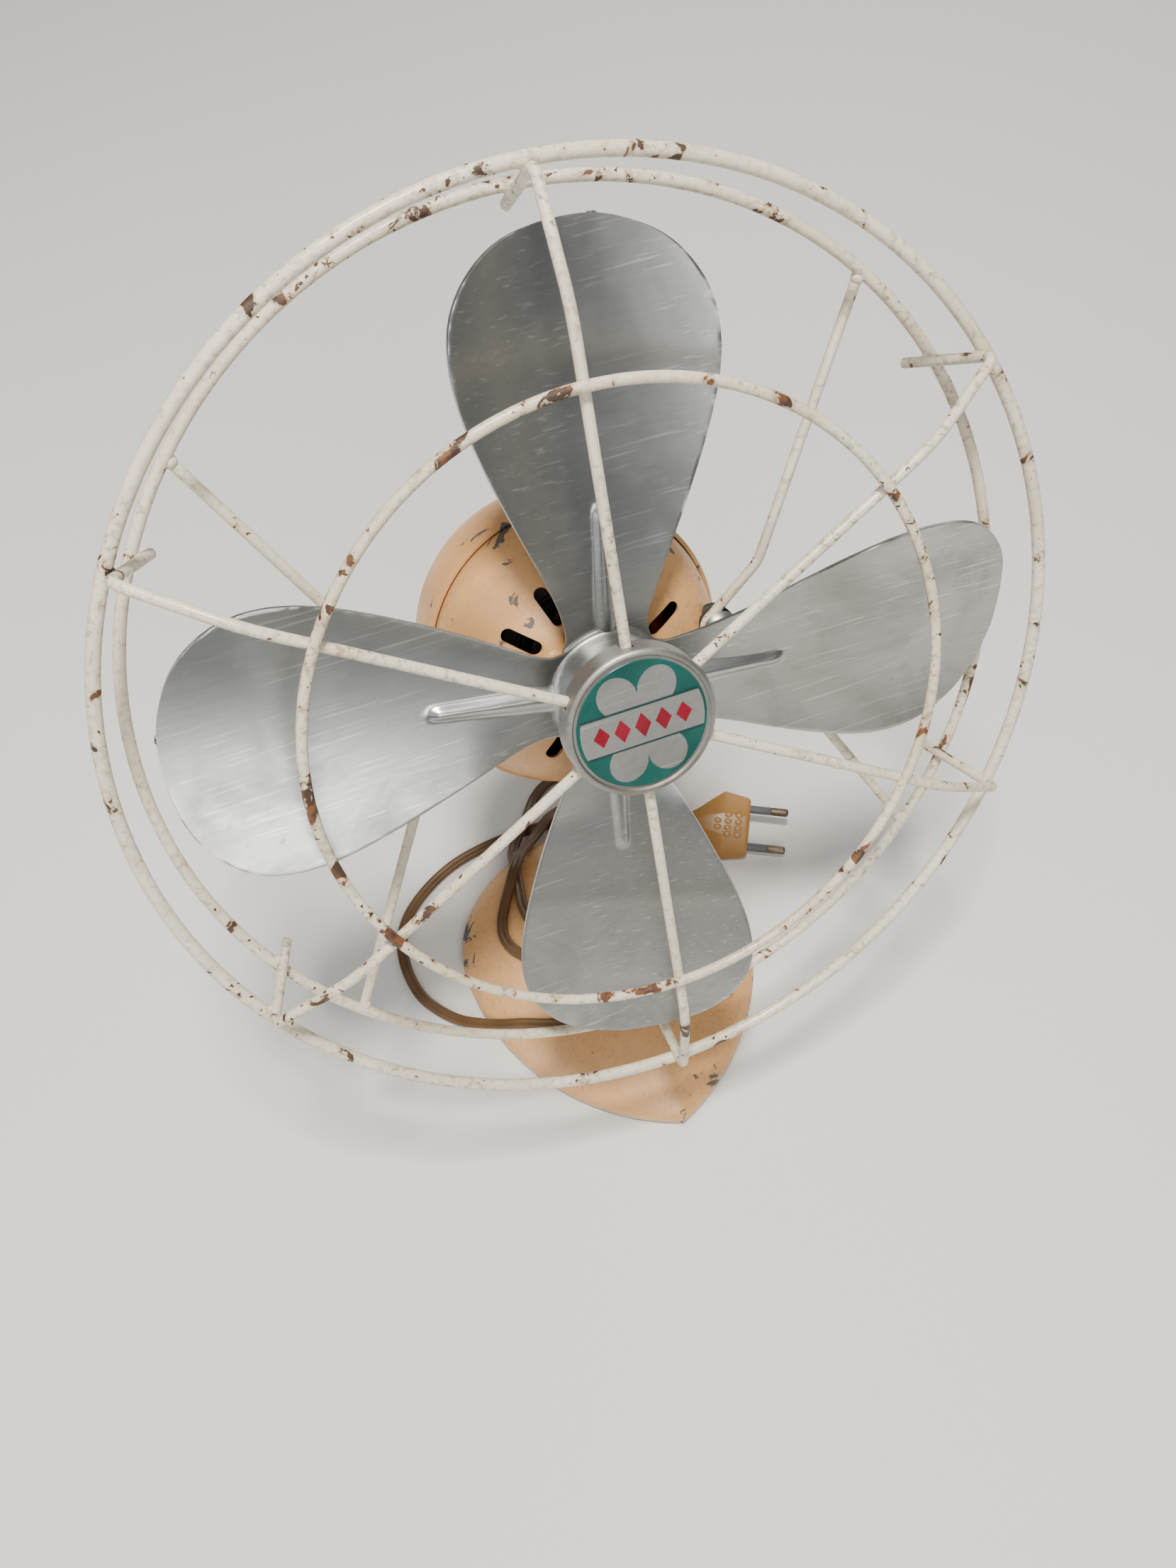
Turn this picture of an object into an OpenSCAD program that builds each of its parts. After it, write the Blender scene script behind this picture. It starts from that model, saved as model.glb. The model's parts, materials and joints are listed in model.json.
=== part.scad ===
// Small four-blade desk fan: tilting shaded-pole motor on a leaf-shaped pressed base,
// welded wire guard with a round badge, flat twin lead and a two-pin plug.
// Millimetres, +Z up, the fan blows towards -Y. The origin is on the flat underside of the
// base, half way between its front point and its back edge.

/* [Guard] */
// Centreline radius of the front ring
front_ring_r = 160; // [150:1:180]
// Wire diameter of the front ring
front_ring_wire = 4.5; // [4:0.1:5.5]
// Centreline radius of the rear ring
rear_ring_r = 153; // [146:1:158]
// Wire diameter of the rear ring
rear_ring_wire = 4; // [3.5:0.1:5]
// Distance of the rear ring behind the front ring
ring_gap = 22; // [18:0.5:30]
// Centreline radius of the inner ring
inner_ring_r = 104; // [80:1:115]
// Wire diameter of the inner ring
inner_ring_wire = 3.5; // [3:0.1:4.5]
// Wire diameter of the spokes and struts
spoke_wire = 3.6; // [3:0.1:4.5]
// Number of spokes
spoke_count = 6; // [6]
// How far the spokes stand in front of the front ring
guard_bulge = 21.6; // [18:0.1:30]
// Turn of the guard about the fan axis
guard_turn = -1.5; // [-5:0.5:5]

/* [Badge] */
// Outer radius of the badge cup
badge_r = 25; // [20:0.5:32]
// Depth of the badge cup
badge_depth = 8.5; // [7:0.5:12]
// Wall of the badge cup
badge_wall = 0.9; // [0.6:0.1:1.5]
// Radius of the enamelled disc in the badge
emblem_r = 21.6; // [16:0.1:23]

/* [Propeller] */
// Tip radius of the blades
blade_tip_r = 141; // [120:1:144]
// Greatest width of a blade
blade_w = 86; // [60:1:92]
// Sheet thickness of the propeller
sheet_t = 1.2; // [0.8:0.1:2]
// Angle of the blades to the plane of the fan
blade_pitch = 10; // [6:0.5:16]
// Radius of the arc that the blade is rolled to
blade_camber_r = 170; // [140:5:400]
// Turn of the propeller on its shaft
propeller_turn = -11; // [-45:1:45]
// Propeller plane behind the front ring
propeller_back = 3; // [0:0.5:5]
// Radius of the raised boss in the middle
boss_r = 21; // [18:0.5:22]
// Height of the raised boss
boss_h = 8; // [4:0.5:10]

/* [Motor] */
// Outer radius of the motor's front shell
motor_r = 51.5; // [48:0.5:56]
// Depth of the front dome
dome_depth = 28; // [24:0.5:32]
// Length of the rear shell
rear_shell_l = 54; // [50:0.5:62]
// Sheet thickness of the motor shells
shell_t = 1.5; // [1:0.1:2]
// Distance from the front ring back to the seam between the shells
seam_back = 43; // [41:0.5:48]
// Number of vent slots in the dome
slot_count = 12; // [6:1:14]
// Shaft diameter
shaft_d = 7; // [6:0.5:8]
// Outer diameter of the bearing bushes
bush_d = 14; // [12:0.5:16]
// Length of a bearing bush
bush_l = 12; // [8:0.5:13]
// Rotor diameter
rotor_d = 44; // [38:0.5:46]
// Air gap between rotor and stator
air_gap = 0.4; // [0.3:0.1:0.8]
// Height of the stator and rotor stacks
stack_l = 20; // [14:1:22]

/* [Stand] */
// Angle of the head above level
head_tilt = 30; // [0:1:50]
// Height of the tilt pivot above the table
pivot_h = 131; // [120:1:160]
// Distance of the neck behind the middle of the base
neck_y = 25; // [15:1:32]
// Distance from the fan axis down to the pivot
motor_rise = 64; // [62:0.5:70]
// Distance of the pivot behind the front ring
pivot_back = 52; // [50:0.5:56]
// Diameter of the tilt bolt
tilt_bolt_d = 6; // [5:0.5:7]
// Radius of the neck at its foot
neck_foot_r = 15; // [13:0.5:17]
// Radius of the neck under the fork
neck_top_r = 11.5; // [11:0.5:13]
// Width of the base
base_w = 135; // [120:1:160]
// Length of the base
base_l = 152; // [140:1:190]
// Height of the base under the neck
base_h = 24; // [20:0.5:30]
// Upright edge of the base shell
base_rim_h = 5; // [4:0.5:8]
// Wall of the base shell
base_wall = 1.5; // [1.2:0.1:2.5]
// Thickness of the felt under the base
felt_t = 1.5; // [1:0.1:3]
// Thickness of the bottom plate
plate_t = 1.2; // [1:0.1:2]

/* [Lead] */
// Width of the plug across its face
plug_w = 34; // [30:0.5:36]
// Thickness of the plug
plug_t = 12; // [10:0.5:13]
// Length of the plug's body
plug_l = 36; // [30:0.5:40]
// Distance between the two pins
pin_pitch = 18.6; // [18:0.1:19.2]
// Diameter of a pin
pin_d = 4; // [3.9:0.1:4.8]
// Length of a pin
pin_l = 19; // [17:0.5:19]

/* [Hidden] */

$fn = 64;
fit = 0.05;              // radial clearance of a shaft in its bearing
weld = 0.3;              // how far welded wires sink into each other
seat = 0.1;              // clearance between parts that are bolted together
cream = "#e6dcc6";
ochre = "#d9a873";
sheet_metal = "#a9adb0";
steel = "#8f9296";
rubber = "#26221f";
lead_brown = "#4a3524";

// ---- guard wire path, as radius and height in front of the front ring ----
spoke_in_r = badge_r - 3.2;
leg_r = front_ring_r - (front_ring_wire + spoke_wire) / 2 + weld;
leg_end_r = rear_ring_r - (rear_ring_wire + spoke_wire) / 2 + weld;
leg_tail = 8;            // how far a leg runs on behind the rear ring
leg_slope = (leg_r - leg_end_r) / ring_gap;
bend_top = 8;            // the spoke's outer bend in front of the front ring
spoke_path = [
    [spoke_in_r, guard_bulge],
    [inner_ring_r + 20, guard_bulge],
    [leg_r + bend_top * leg_slope, bend_top],
    [leg_end_r - leg_tail * leg_slope, -ring_gap - leg_tail]];
spoke_bends = [0, 46, 4.5, 0];

// ---- motor, measured back from the front ring ----
dome_top = -seam_back + dome_depth;
front_bush_z = dome_top - 15;
rear_end = -seam_back - rear_shell_l;
rear_bush_z = rear_end + 4;
rear_r = motor_r + shell_t + 0.6;
stack_z = -seam_back - stack_l - 1;
strut_screw_r = 47.5;
strut_z = -23.5;
strut_eye_r = 5.4;
coil_t = 6.5;
bush_r = 6.6;
bush_t = 5.6;
lug_w = 11.6;

// ---- stand ----
ear_r = 7.5;
ear_t = 4.2;
fork_gap = lug_w + 0.8;
widest_y = base_l / 2 - 55;
front_arc_r = (pow(base_l - 55, 2) + pow(base_w / 2, 2)) / base_w;

// Half width of the base at y, for an outline drawn in by d all round
function base_half_w(y, d = 0) =
    y < widest_y
    ? sqrt(max(0, pow(front_arc_r - d, 2) - pow(y - widest_y, 2))) - front_arc_r + base_w / 2
    : (base_w / 2 - d) * sqrt(max(0, 1 - pow((y - widest_y) / (55 - d), 2)));
function base_tip_y(d) = widest_y
    - sqrt(pow(front_arc_r - d, 2) - pow(front_arc_r - base_w / 2, 2));
side_steps = 18;
rear_steps = 14;
// Right-hand half of the outline from the front point to the back, then its mirror image
function base_side(d) = concat(
    [for (i = [0:side_steps]) let (y = base_tip_y(d) + (widest_y - base_tip_y(d)) * i / side_steps)
        [max(0, base_half_w(y, d)), y]],
    [for (i = [1:rear_steps]) let (a = 90 * i / rear_steps)
        [(base_w / 2 - d) * cos(a), widest_y + (55 - d) * sin(a)]]);
function base_outline(d = 0) = let (s = base_side(d), n = len(s))
    concat(s, [for (i = [n - 2:-1:1]) [-s[i][0], s[i][1]]]);

// How many times the step p goes into a circle of radius r, from m inside it
function steps_out(m, p, r) = (-(m * p) + sqrt(pow(m * p, 2) - (p * p) * (m * m - r * r))) / (p * p);
// Share of the way from the middle of the base to its edge
function edge_share(x, y) = let (
        side = steps_out([front_arc_r - base_w / 2, neck_y - widest_y], [abs(x), y - neck_y], front_arc_r),
        back = steps_out([0, (neck_y - widest_y) / 55], [abs(x) / (base_w / 2), (y - neck_y) / 55], 1))
    1 / (neck_y + side * (y - neck_y) < widest_y ? side : back);

// Height of the base shell's skin at the share q of the way out, drawn in by d
dome_power = 0.62;
function skin_h(q, d) = base_rim_h - d + (base_h - base_rim_h) * pow(max(0, 1 - q * q), dome_power);

// ---- flat twin lead ----
cord_d = 4.4;
// Its first points, from the middle of the neck's sleeve
cord_start = [[19, 0, 0], [28, 0, 0], [34, -1.5, -2.5], [38, -6.5, -8]];
// Then its route over the base and the table: x, y, and height above what lies under it
cord_lay = [
    [50, 11, 5], [48, 4, 2.6], [41, 0, 2.4], [32, -1.5, 2.4], [20, -1, 2.4], [8, 0, 2.4], [-4, 1, 2.4],
    [-14, 4.5, 2.4], [-22, 11, 2.4], [-28, 19, 2.4], [-32, 29, 2.4], [-33, 39, 2.4], [-31.5, 48, 2.4],
    [-30, 57, 3], [-28.5, 66, 3.8], [-26.5, 74, 8.6], [-22, 81, 7], [-16, 88, 6.6], [-11, 95, 4],
    [-6, 102, 2.4], [1, 107.5, 2.1], [9, 110, 2.1], [17, 108.5, 2.1], [22, 103, 2.1], [21, 96.5, 2.1],
    [15, 92.5, 2.6], [6, 90.5, 4.6], [-3, 87, 6.8], [-10, 81.5, 7.8], [-16, 76.5, 9.5], [-22, 70, 5.4],
    [-26.5, 63.5, 8], [-31, 57, 8], [-35.5, 50.5, 5.2], [-40, 44, 2.9], [-44, 36.5, 2.4],
    [-46, 28.5, 2.4], [-44, 20.5, 2.4], [-38, 12.5, 2.4], [-31, 4.5, 2.4], [-23, -2.5, 2.4],
    [-14, -8, 2.4], [-3, -10.5, 2.4], [9, -11.5, 2.4], [21, -11.5, 2.4], [31, -12.5, 2.4],
    [37.5, -18, 2.4], [36, -25.5, 2.4], [28, -29.5, 2.4], [17, -30.5, 2.4], [5, -29.5, 2.5],
    [-7, -28, 2.4], [-19, -25.5, 2.4], [-31, -22, 2.4], [-42, -17.5, 2.4], [-52, -12.5, 3],
    [-61, -8, 3.6], [-69, -2.5, 7.4], [-77, 4, 3.4], [-84, 12, 2.1], [-89.5, 21, 2.1], [-92, 32, 2.1],
    [-92, 43, 2.1], [-89.5, 53.5, 2.1], [-84, 62.5, 2.1], [-76, 70, 2.1], [-66, 76.5, 2.1],
    [-55, 81.5, 2.1], [-43, 84.5, 2.1], [-31, 86, 2.1], [-19, 86.5, 2.1], [-7, 86, 2.1],
    [5, 84.5, 2.1], [16, 82, 2.1], [27, 77.5, 2.8], [37, 72, 4.6]];

// ---- plug, lying on one of its long bevels beside the base ----
plug_tail = [54.5, 62];
pin_groove = 0.5;
plug_aim = -28;
plug_roll = 22;
plug_edge = 1.3;
plug_flat = 5.5;
plug_z = plug_w / 2 * sin(plug_roll) + plug_edge * cos(plug_roll);

// ================= helpers =================

// Moves the head's own frame (x right, y up, z out of the front) onto the tilted head
module head() {
    translate([0, neck_y, pivot_h]) rotate([90 - head_tilt, 0, 0])
        translate([0, motor_rise, pivot_back]) children();
}

module ring(r, wire, z = 0) {
    translate([0, 0, z]) rotate_extrude($fn = 128) translate([r, 0]) circle(d = wire, $fn = 24);
}

function unit(v) = v / norm(v);
function turn_at(p, i) = let (a = unit(p[i] - p[i - 1]), b = unit(p[i + 1] - p[i]))
    atan2(a[0] * b[1] - a[1] * b[0], a * b);

// Points round corner i of the flat path p, bent to radius r in steps of about 12 degrees
function bend(p, r, i) = let (
        t = turn_at(p, i),
        along = unit(p[i] - p[i - 1]),
        side = [-along[1], along[0]] * sign(t),
        c = p[i] - along * r * tan(abs(t) / 2) + side * r,
        n = ceil(abs(t) / 12))
    [for (k = [0:n]) let (a = abs(t) * k / n) c + (along * sin(a) - side * cos(a)) * r];
function bent_path(p, r) = concat([p[0]], [for (i = [1:len(p) - 2]) each bend(p, r[i], i)], [p[len(p) - 1]]);

// Round rod of k sides along the points of line, none of its pieces upright
module rod(line, wire, k) {
    n = len(line);
    pts = [for (i = [0:n - 1]) let (
            d = unit(line[min(i + 1, n - 1)] - line[max(i - 1, 0)]),
            s = unit(cross(d, [0, 0, 1])),
            u = cross(s, d))
        for (j = [0:k - 1]) let (a = 360 * (j + 0.5) / k)
            line[i] + (s * cos(a) + u * sin(a)) * wire / 2];
    polyhedron(pts, concat(
        [for (i = [0:n - 2]) for (j = [0:k - 1]) let (m = (j + 1) % k)
            [i * k + j, i * k + m, (i + 1) * k + m, (i + 1) * k + j]],
        [[for (j = [k - 1:-1:0]) j]],
        [[for (j = [0:k - 1]) (n - 1) * k + j]]));
}

// Round wire in the XY plane along the corners p, each bent to its radius in r
module bent_wire(p, r, wire) {
    rod([for (q = bent_path(p, r)) [q[0], q[1], 0]], wire, 12);
}

// Cap of a ball, as wide as 2 r and h high, standing on z = 0
module dome_head(r, h) {
    ball_r = (r * r + h * h) / (2 * h);
    intersection() {
        cylinder(r = r + 1, h = h + 1);
        translate([0, 0, h - ball_r]) sphere(r = ball_r, $fn = 96);
    }
}

module slotted_dome(r, h, slot) {
    difference() {
        dome_head(r, h);
        translate([-r, -slot / 2, h * 0.45]) cube([2 * r, slot, h]);
    }
}

module tube(r_out, r_in, h) {
    difference() {
        cylinder(r = r_out, h = h);
        translate([0, 0, -1]) cylinder(r = r_in, h = h + 2);
    }
}

// ================= base and neck =================

// Closed domed body over the outline drawn in by d, with its top lowered by d
module dome_body(d, floor_z) {
    o = base_outline(d);
    n = len(o);
    rings = [1, 0.975, 0.93, 0.86, 0.76, 0.63, 0.48, 0.32];
    m = len(rings);
    mid = [0, neck_y];
    pts = concat(
        [for (p = o) [p[0], p[1], floor_z]],
        [for (q = rings) for (p = o) let (s = mid + (p - mid) * q) [s[0], s[1], skin_h(q, d)]],
        [[mid[0], mid[1], base_h - d], [mid[0], mid[1], floor_z]]);
    top = n * (m + 1);
    polyhedron(pts, concat(
        [for (k = [0:m - 1]) for (i = [0:n - 1]) let (j = (i + 1) % n)
            [k * n + i, (k + 1) * n + i, (k + 1) * n + j, k * n + j]],
        [for (i = [0:n - 1]) [m * n + i, top, m * n + (i + 1) % n]],
        [for (i = [0:n - 1]) [(i + 1) % n, top + 1, i]]));
}

boss_at = [[0, -38], [38, 40], [-38, 40]];
neck_screw_x = 9.5;
shell_floor = felt_t;
pillar_z = felt_t + plate_t + seat;

module base_shell() {
    color(ochre) {
        difference() {
            dome_body(0, shell_floor);
            dome_body(base_wall, shell_floor - 1);
            translate([0, neck_y, 0]) {
                cylinder(r = 5, h = 60);
                for (x = [-1, 1]) translate([x * neck_screw_x, 0, 0]) cylinder(d = 4.4, h = 60);
            }
        }
        // seat for the neck, and pillars for the bottom plate's screws
        difference() {
            translate([0, neck_y, base_h - 4]) cylinder(r = neck_foot_r + 3, h = 4);
            translate([0, neck_y, 0]) {
                cylinder(r = 5, h = 60);
                for (x = [-1, 1]) translate([x * neck_screw_x, 0, 0]) cylinder(d = 4.4, h = 60);
            }
        }
        for (b = boss_at) difference() {
            translate([b[0], b[1], pillar_z]) cylinder(r = 3.6, h = skin_h(0.66, base_wall / 2) - pillar_z);
            translate([b[0], b[1], 0]) cylinder(d = 3, h = 12);
        }
    }
}

module base_plate() {
    color(steel) difference() {
        translate([0, 0, felt_t]) linear_extrude(plate_t) polygon(base_outline(base_wall + 0.4));
        for (b = boss_at) translate([b[0], b[1], 0]) cylinder(d = 3.4, h = 10);
        for (x = [-1, 1]) translate([x * neck_screw_x, neck_y, 0]) cylinder(d = 9, h = 10);
    }
}

module felt_pad() {
    color("#4c5a3f") difference() {
        linear_extrude(felt_t) polygon(base_outline(4));
        for (b = boss_at) translate([b[0], b[1], -1]) cylinder(d = 8, h = 10);
    }
}

module base_screws() {
    color(steel) for (b = boss_at) translate([b[0], b[1], felt_t]) rotate([180, 0, 0]) {
        slotted_dome(3.2, 1.3, 0.8);
        translate([0, 0, -9]) cylinder(d = 3, h = 9.1);
    }
}

// Turned column with a fork for the motor's lug
module neck() {
    fork_z = pivot_h - ear_r - 4;
    color(ochre) difference() {
        union() {
            translate([0, neck_y, 0]) rotate_extrude($fn = 96) polygon([
                [0, base_h], [neck_foot_r + 6, base_h], [neck_foot_r + 6, base_h + 1.6],
                [neck_foot_r + 3.6, base_h + 3.2], [neck_foot_r + 1.6, base_h + 6.4],
                [neck_foot_r + 0.6, base_h + 12], [neck_top_r, fork_z - 8], [neck_top_r, fork_z],
                [0, fork_z]]);
            for (x = [-1, 1]) translate([x * (fork_gap + ear_t) / 2, neck_y, 0]) {
                translate([0, 0, pivot_h]) rotate([0, 90, 0]) cylinder(r = ear_r, h = ear_t, center = true);
                translate([-ear_t / 2, -ear_r, fork_z - 3]) cube([ear_t, 2 * ear_r, pivot_h - fork_z + 3]);
            }
        }
        translate([0, neck_y, 0]) {
            cylinder(r = 5, h = fork_z + 5);
            translate([-fork_gap / 2, -20, pivot_h - ear_r - 3]) cube([fork_gap, 40, 30]);
            for (x = [-1, 1]) translate([x * neck_screw_x, 0, base_h - 1]) cylinder(d = 4, h = 13);
            translate([-20, 0, pivot_h]) rotate([0, 90, 0]) cylinder(d = tilt_bolt_d + 2 * fit, h = 40);
            translate([0, 0, sleeve_z]) rotate([0, 90, 0]) cylinder(r = sleeve_neck_r + seat, h = 30);
        }
    }
}

module neck_screws() {
    color(steel) for (x = [-1, 1]) translate([x * neck_screw_x, neck_y, base_h - 4]) rotate([180, 0, 0]) {
        slotted_dome(3.6, 2, 1);
        translate([0, 0, -14]) cylinder(d = 4, h = 14.1);
    }
}

// ================= tilt clamp =================
fork_out = fork_gap / 2 + ear_t;
washer_t = 1.2;
bolt_tip_x = fork_out + 17;

module tilt_bolt() {
    color(steel) translate([0, neck_y, pivot_h]) rotate([0, 90, 0]) {
        translate([0, 0, -fork_out - washer_t]) {
            cylinder(d = tilt_bolt_d, h = fork_out + washer_t + bolt_tip_x);
            rotate([180, 0, 0]) cylinder(d = 11, h = 4, $fn = 6);
        }
    }
}

module tilt_washers() {
    color(steel) for (x = [-fork_out - washer_t, fork_out]) translate([x, neck_y, pivot_h])
        rotate([0, 90, 0]) tube(6.2, tilt_bolt_d / 2 + 0.15, washer_t);
}

module tilt_knob() {
    color("#2b2623") translate([fork_out + washer_t + seat, neck_y, pivot_h]) rotate([0, 90, 0])
        difference() {
            union() {
                cylinder(r = 6, h = 4);
                translate([0, 0, 3.5]) cylinder(r = 10.5, h = 8);
            }
            translate([0, 0, -1]) cylinder(d = tilt_bolt_d + 2 * fit, h = 40);
            for (a = [0:30:359]) rotate([0, 0, a]) translate([11.3, 0, -1]) cylinder(r = 1.6, h = 40, $fn = 24);
        }
}

// ================= motor =================

// Solid of revolution: a drum of radius r and length l behind an elliptical dome of height h
module domed_drum(r, l, h) {
    rotate_extrude($fn = 128) polygon(concat([[0, -l], [r, -l]], [for (a = [0:5:90]) [r * cos(a), h * sin(a)]]));
}

bush_hole_r = bush_d / 2;
boss_wall_r = bush_hole_r + 5;
skirt_l = 10;

module motor_front_shell() {
    color(ochre) head() difference() {
        union() {
            translate([0, 0, -seam_back]) difference() {
                domed_drum(motor_r, skirt_l, dome_depth);
                domed_drum(motor_r - shell_t, skirt_l + 1, dome_depth - shell_t);
            }
            // bearing boss inside the nose
            translate([0, 0, front_bush_z]) cylinder(r = boss_wall_r, h = dome_top - front_bush_z - 0.8);
            // seats of the two guard screws
            intersection() {
                translate([0, 0, -seam_back]) domed_drum(motor_r, 0, dome_depth);
                for (x = [-1, 1]) translate([x * strut_screw_r, 0, strut_z - spoke_wire / 2 - bush_t - 6])
                    cylinder(r = 8, h = 20);
            }
        }
        translate([0, 0, front_bush_z - 1]) cylinder(r = bush_hole_r, h = 60);
        for (i = [0:slot_count - 1]) rotate([0, 0, slot_turn + i * 360 / slot_count])
            translate([0, 0, -seam_back + 10]) vent_slot(24.6, 33.4, 5.2, 40);
        for (x = [-1, 1]) translate([x * strut_screw_r, 0, strut_z]) {
            translate([0, 0, -30]) cylinder(d = 4, h = 60);
            translate([0, 0, -spoke_wire / 2 - bush_t]) cylinder(r = bush_r + 0.2, h = 30);
        }
        for (a = rivet_angles) rotate([0, 0, a]) translate([rivet_r, 0, 0]) {
            translate([0, 0, -60]) cylinder(d = 2.6, h = 80);
            translate([0, 0, rivet_top]) cylinder(r = 2.8, h = 20);
        }
    }
}

slot_turn = 22;
rivet_angles = [143, 263, 23];
rivet_r = 17.5;
rivet_top = -seam_back + dome_depth * sqrt(1 - pow(rivet_r / motor_r, 2)) - 0.5;

// Slot with round ends, pointing away from the fan axis
module vent_slot(r_in, r_out, w, h) {
    translate([r_in, 0, 0]) cylinder(d = w, h = h, $fn = 32);
    translate([r_out, 0, 0]) cylinder(d = w, h = h, $fn = 32);
    translate([r_in, -w / 2, 0]) cube([r_out - r_in, w, h]);
}

module motor_rear_shell() {
    drum_l = 20;
    back_h = rear_shell_l - drum_l;
    color(ochre) head() difference() {
        union() {
            translate([0, 0, -seam_back - drum_l]) rotate([180, 0, 0]) difference() {
                domed_drum(rear_r, drum_l, back_h);
                domed_drum(rear_r - shell_t, drum_l + 1, back_h - shell_t);
            }
            translate([0, 0, rear_end + 0.8]) cylinder(r = boss_wall_r, h = 15.2);
            // pillars that press on the back of the stator
            intersection() {
                translate([0, 0, -seam_back - drum_l]) rotate([180, 0, 0]) domed_drum(rear_r, drum_l, back_h);
                for (a = screw_angles) rotate([0, 0, a])
                    translate([screw_r, 0, rear_end]) cylinder(r = 5.6, h = stack_z - 0.05 - rear_end);
            }
        }
        translate([0, 0, rear_bush_z]) cylinder(r = bush_hole_r, h = 40);
        for (i = [0:slot_count - 1]) rotate([0, 0, slot_turn + i * 360 / slot_count])
            translate([0, 0, rear_end - 1]) vent_slot(22, 29, 4.6, 22);
        for (a = screw_angles) rotate([0, 0, a]) translate([screw_r, 0, rear_end - 5]) {
            cylinder(d = 3.4, h = 60);
            cylinder(r = 4.4, h = screw_seat - rear_end + 5);
        }
        translate([0, -rear_r - 5, lug_rivet_z]) rotate([-90, 0, 0]) cylinder(d = 3, h = 10);
    }
}

screw_angles = [45, 135, 225, 315];
screw_r = 41.5;
screw_seat = -seam_back - 38.5;

// Long screws through the back shell into the stator
module shell_screws() {
    color(steel) head() for (a = screw_angles) rotate([0, 0, a]) translate([screw_r, 0, screw_seat])
        rotate([180, 0, 0]) {
            slotted_dome(3.8, 2.2, 1);
            translate([0, 0, -34]) cylinder(d = 3.2, h = 34.1);
        }
}

lug_rivet_z = -pivot_back - 13;

// Lug under the rear shell: a strap along the shell with an eye for the tilt bolt
module motor_lug() {
    color(ochre) head() difference() {
        union() {
            translate([0, -motor_rise, -pivot_back]) rotate([0, 90, 0])
                cylinder(r = ear_r, h = lug_w, center = true);
            translate([-lug_w / 2, -motor_rise, -pivot_back - ear_r])
                cube([lug_w, motor_rise - rear_r + 1.2, 2 * ear_r]);
            translate([-lug_w / 2, -rear_r - 2.4, -pivot_back - 19]) cube([lug_w, 3.6, 27]);
        }
        translate([0, 0, -100]) cylinder(r = rear_r + 0.02, h = 100, $fn = 128);
        translate([-20, -motor_rise, -pivot_back]) rotate([0, 90, 0])
            cylinder(d = tilt_bolt_d + 2 * fit, h = 40);
        translate([0, -rear_r - 10, lug_rivet_z]) rotate([-90, 0, 0]) cylinder(d = 3, h = 20);
    }
}

module lug_rivets() {
    color(steel) head() translate([0, -rear_r - 2.4, lug_rivet_z]) rotate([90, 0, 0]) {
        cylinder(r = 2.6, h = 1.2);
        translate([0, 0, -5]) cylinder(d = 3, h = 5.1);
    }
}

pole_w = 16;
pole_in = rotor_d / 2 + air_gap;
pole_shoe = 4.5;
yoke_r = motor_r - shell_t - fit;
yoke_in = 36;

module stator_core() {
    color("#5b5a58") head() translate([0, 0, stack_z]) difference() {
        union() {
            tube(yoke_r, yoke_in, stack_l);
            intersection() {
                union() {
                    for (a = [0:90:359]) rotate([0, 0, a])
                        translate([0, -pole_w / 2, 0]) cube([yoke_in + 1, pole_w, stack_l]);
                    intersection() {
                        cylinder(r = pole_in + pole_shoe, h = stack_l);
                        for (a = [0:90:359]) rotate([0, 0, a])
                            translate([0, -15, 0]) cube([60, 30, stack_l]);
                    }
                }
                cylinder(r = yoke_in + 1, h = stack_l);
            }
        }
        translate([0, 0, -1]) cylinder(r = pole_in, h = stack_l + 2);
        for (a = screw_angles) rotate([0, 0, a]) translate([screw_r, 0, -1]) cylinder(d = 3.2, h = 60);
    }
}

module stator_coils() {
    r0 = pole_in + pole_shoe + 0.3;
    r1 = sqrt(pow(yoke_in, 2) - pow(pole_w / 2 + coil_t, 2)) - 0.3;
    color("#a4592b") head() for (a = [0:90:359]) rotate([0, 0, a]) difference() {
        translate([r0, -pole_w / 2 - coil_t, stack_z - coil_t])
            cube([r1 - r0, pole_w + 2 * coil_t, stack_l + 2 * coil_t]);
        translate([r0 - 1, -pole_w / 2 - 0.2, stack_z - 0.2])
            cube([r1 - r0 + 2, pole_w + 0.4, stack_l + 0.4]);
    }
}

module rotor() {
    color("#7d8083") head() translate([0, 0, stack_z]) difference() {
        union() {
            cylinder(d = rotor_d, h = stack_l);
            translate([0, 0, -3]) tube(rotor_d / 2 - 1, rotor_d / 2 - 7, stack_l + 6);
        }
        translate([0, 0, -5]) cylinder(d = shaft_d, h = stack_l + 10);
    }
}

module shaft() {
    color("#b9bcc0") head() translate([0, 0, rear_bush_z + 2])
        cylinder(d = shaft_d, h = -propeller_back + 4 - rear_bush_z - 2);
}

module shaft_collars() {
    color("#c9b27a") head() {
        translate([0, 0, front_bush_z - 2.2]) tube(shaft_d / 2 + 3, shaft_d / 2, 2);
        translate([0, 0, rear_bush_z + bush_l + 0.2]) tube(shaft_d / 2 + 3, shaft_d / 2, 2);
    }
}

module bearing() {
    tube(bush_hole_r, shaft_d / 2 + fit, bush_l);
}

module front_bearing() {
    color("#b58a4a") head() translate([0, 0, front_bush_z]) bearing();
}

module rear_bearing() {
    color("#b58a4a") head() translate([0, 0, rear_bush_z]) bearing();
}

// Spring plates that hold the bushes in their bosses
module bearing_plates() {
    color("#9a9da1") head() translate([0, 0, front_bush_z - 1.1]) difference() {
        cylinder(r = boss_wall_r + 9, h = 1);
        translate([0, 0, -1]) cylinder(d = shaft_d + 6.6, h = 4);
        for (a = rivet_angles) rotate([0, 0, a]) translate([rivet_r, 0, -1]) cylinder(d = 2.6, h = 4);
    }
}

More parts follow.
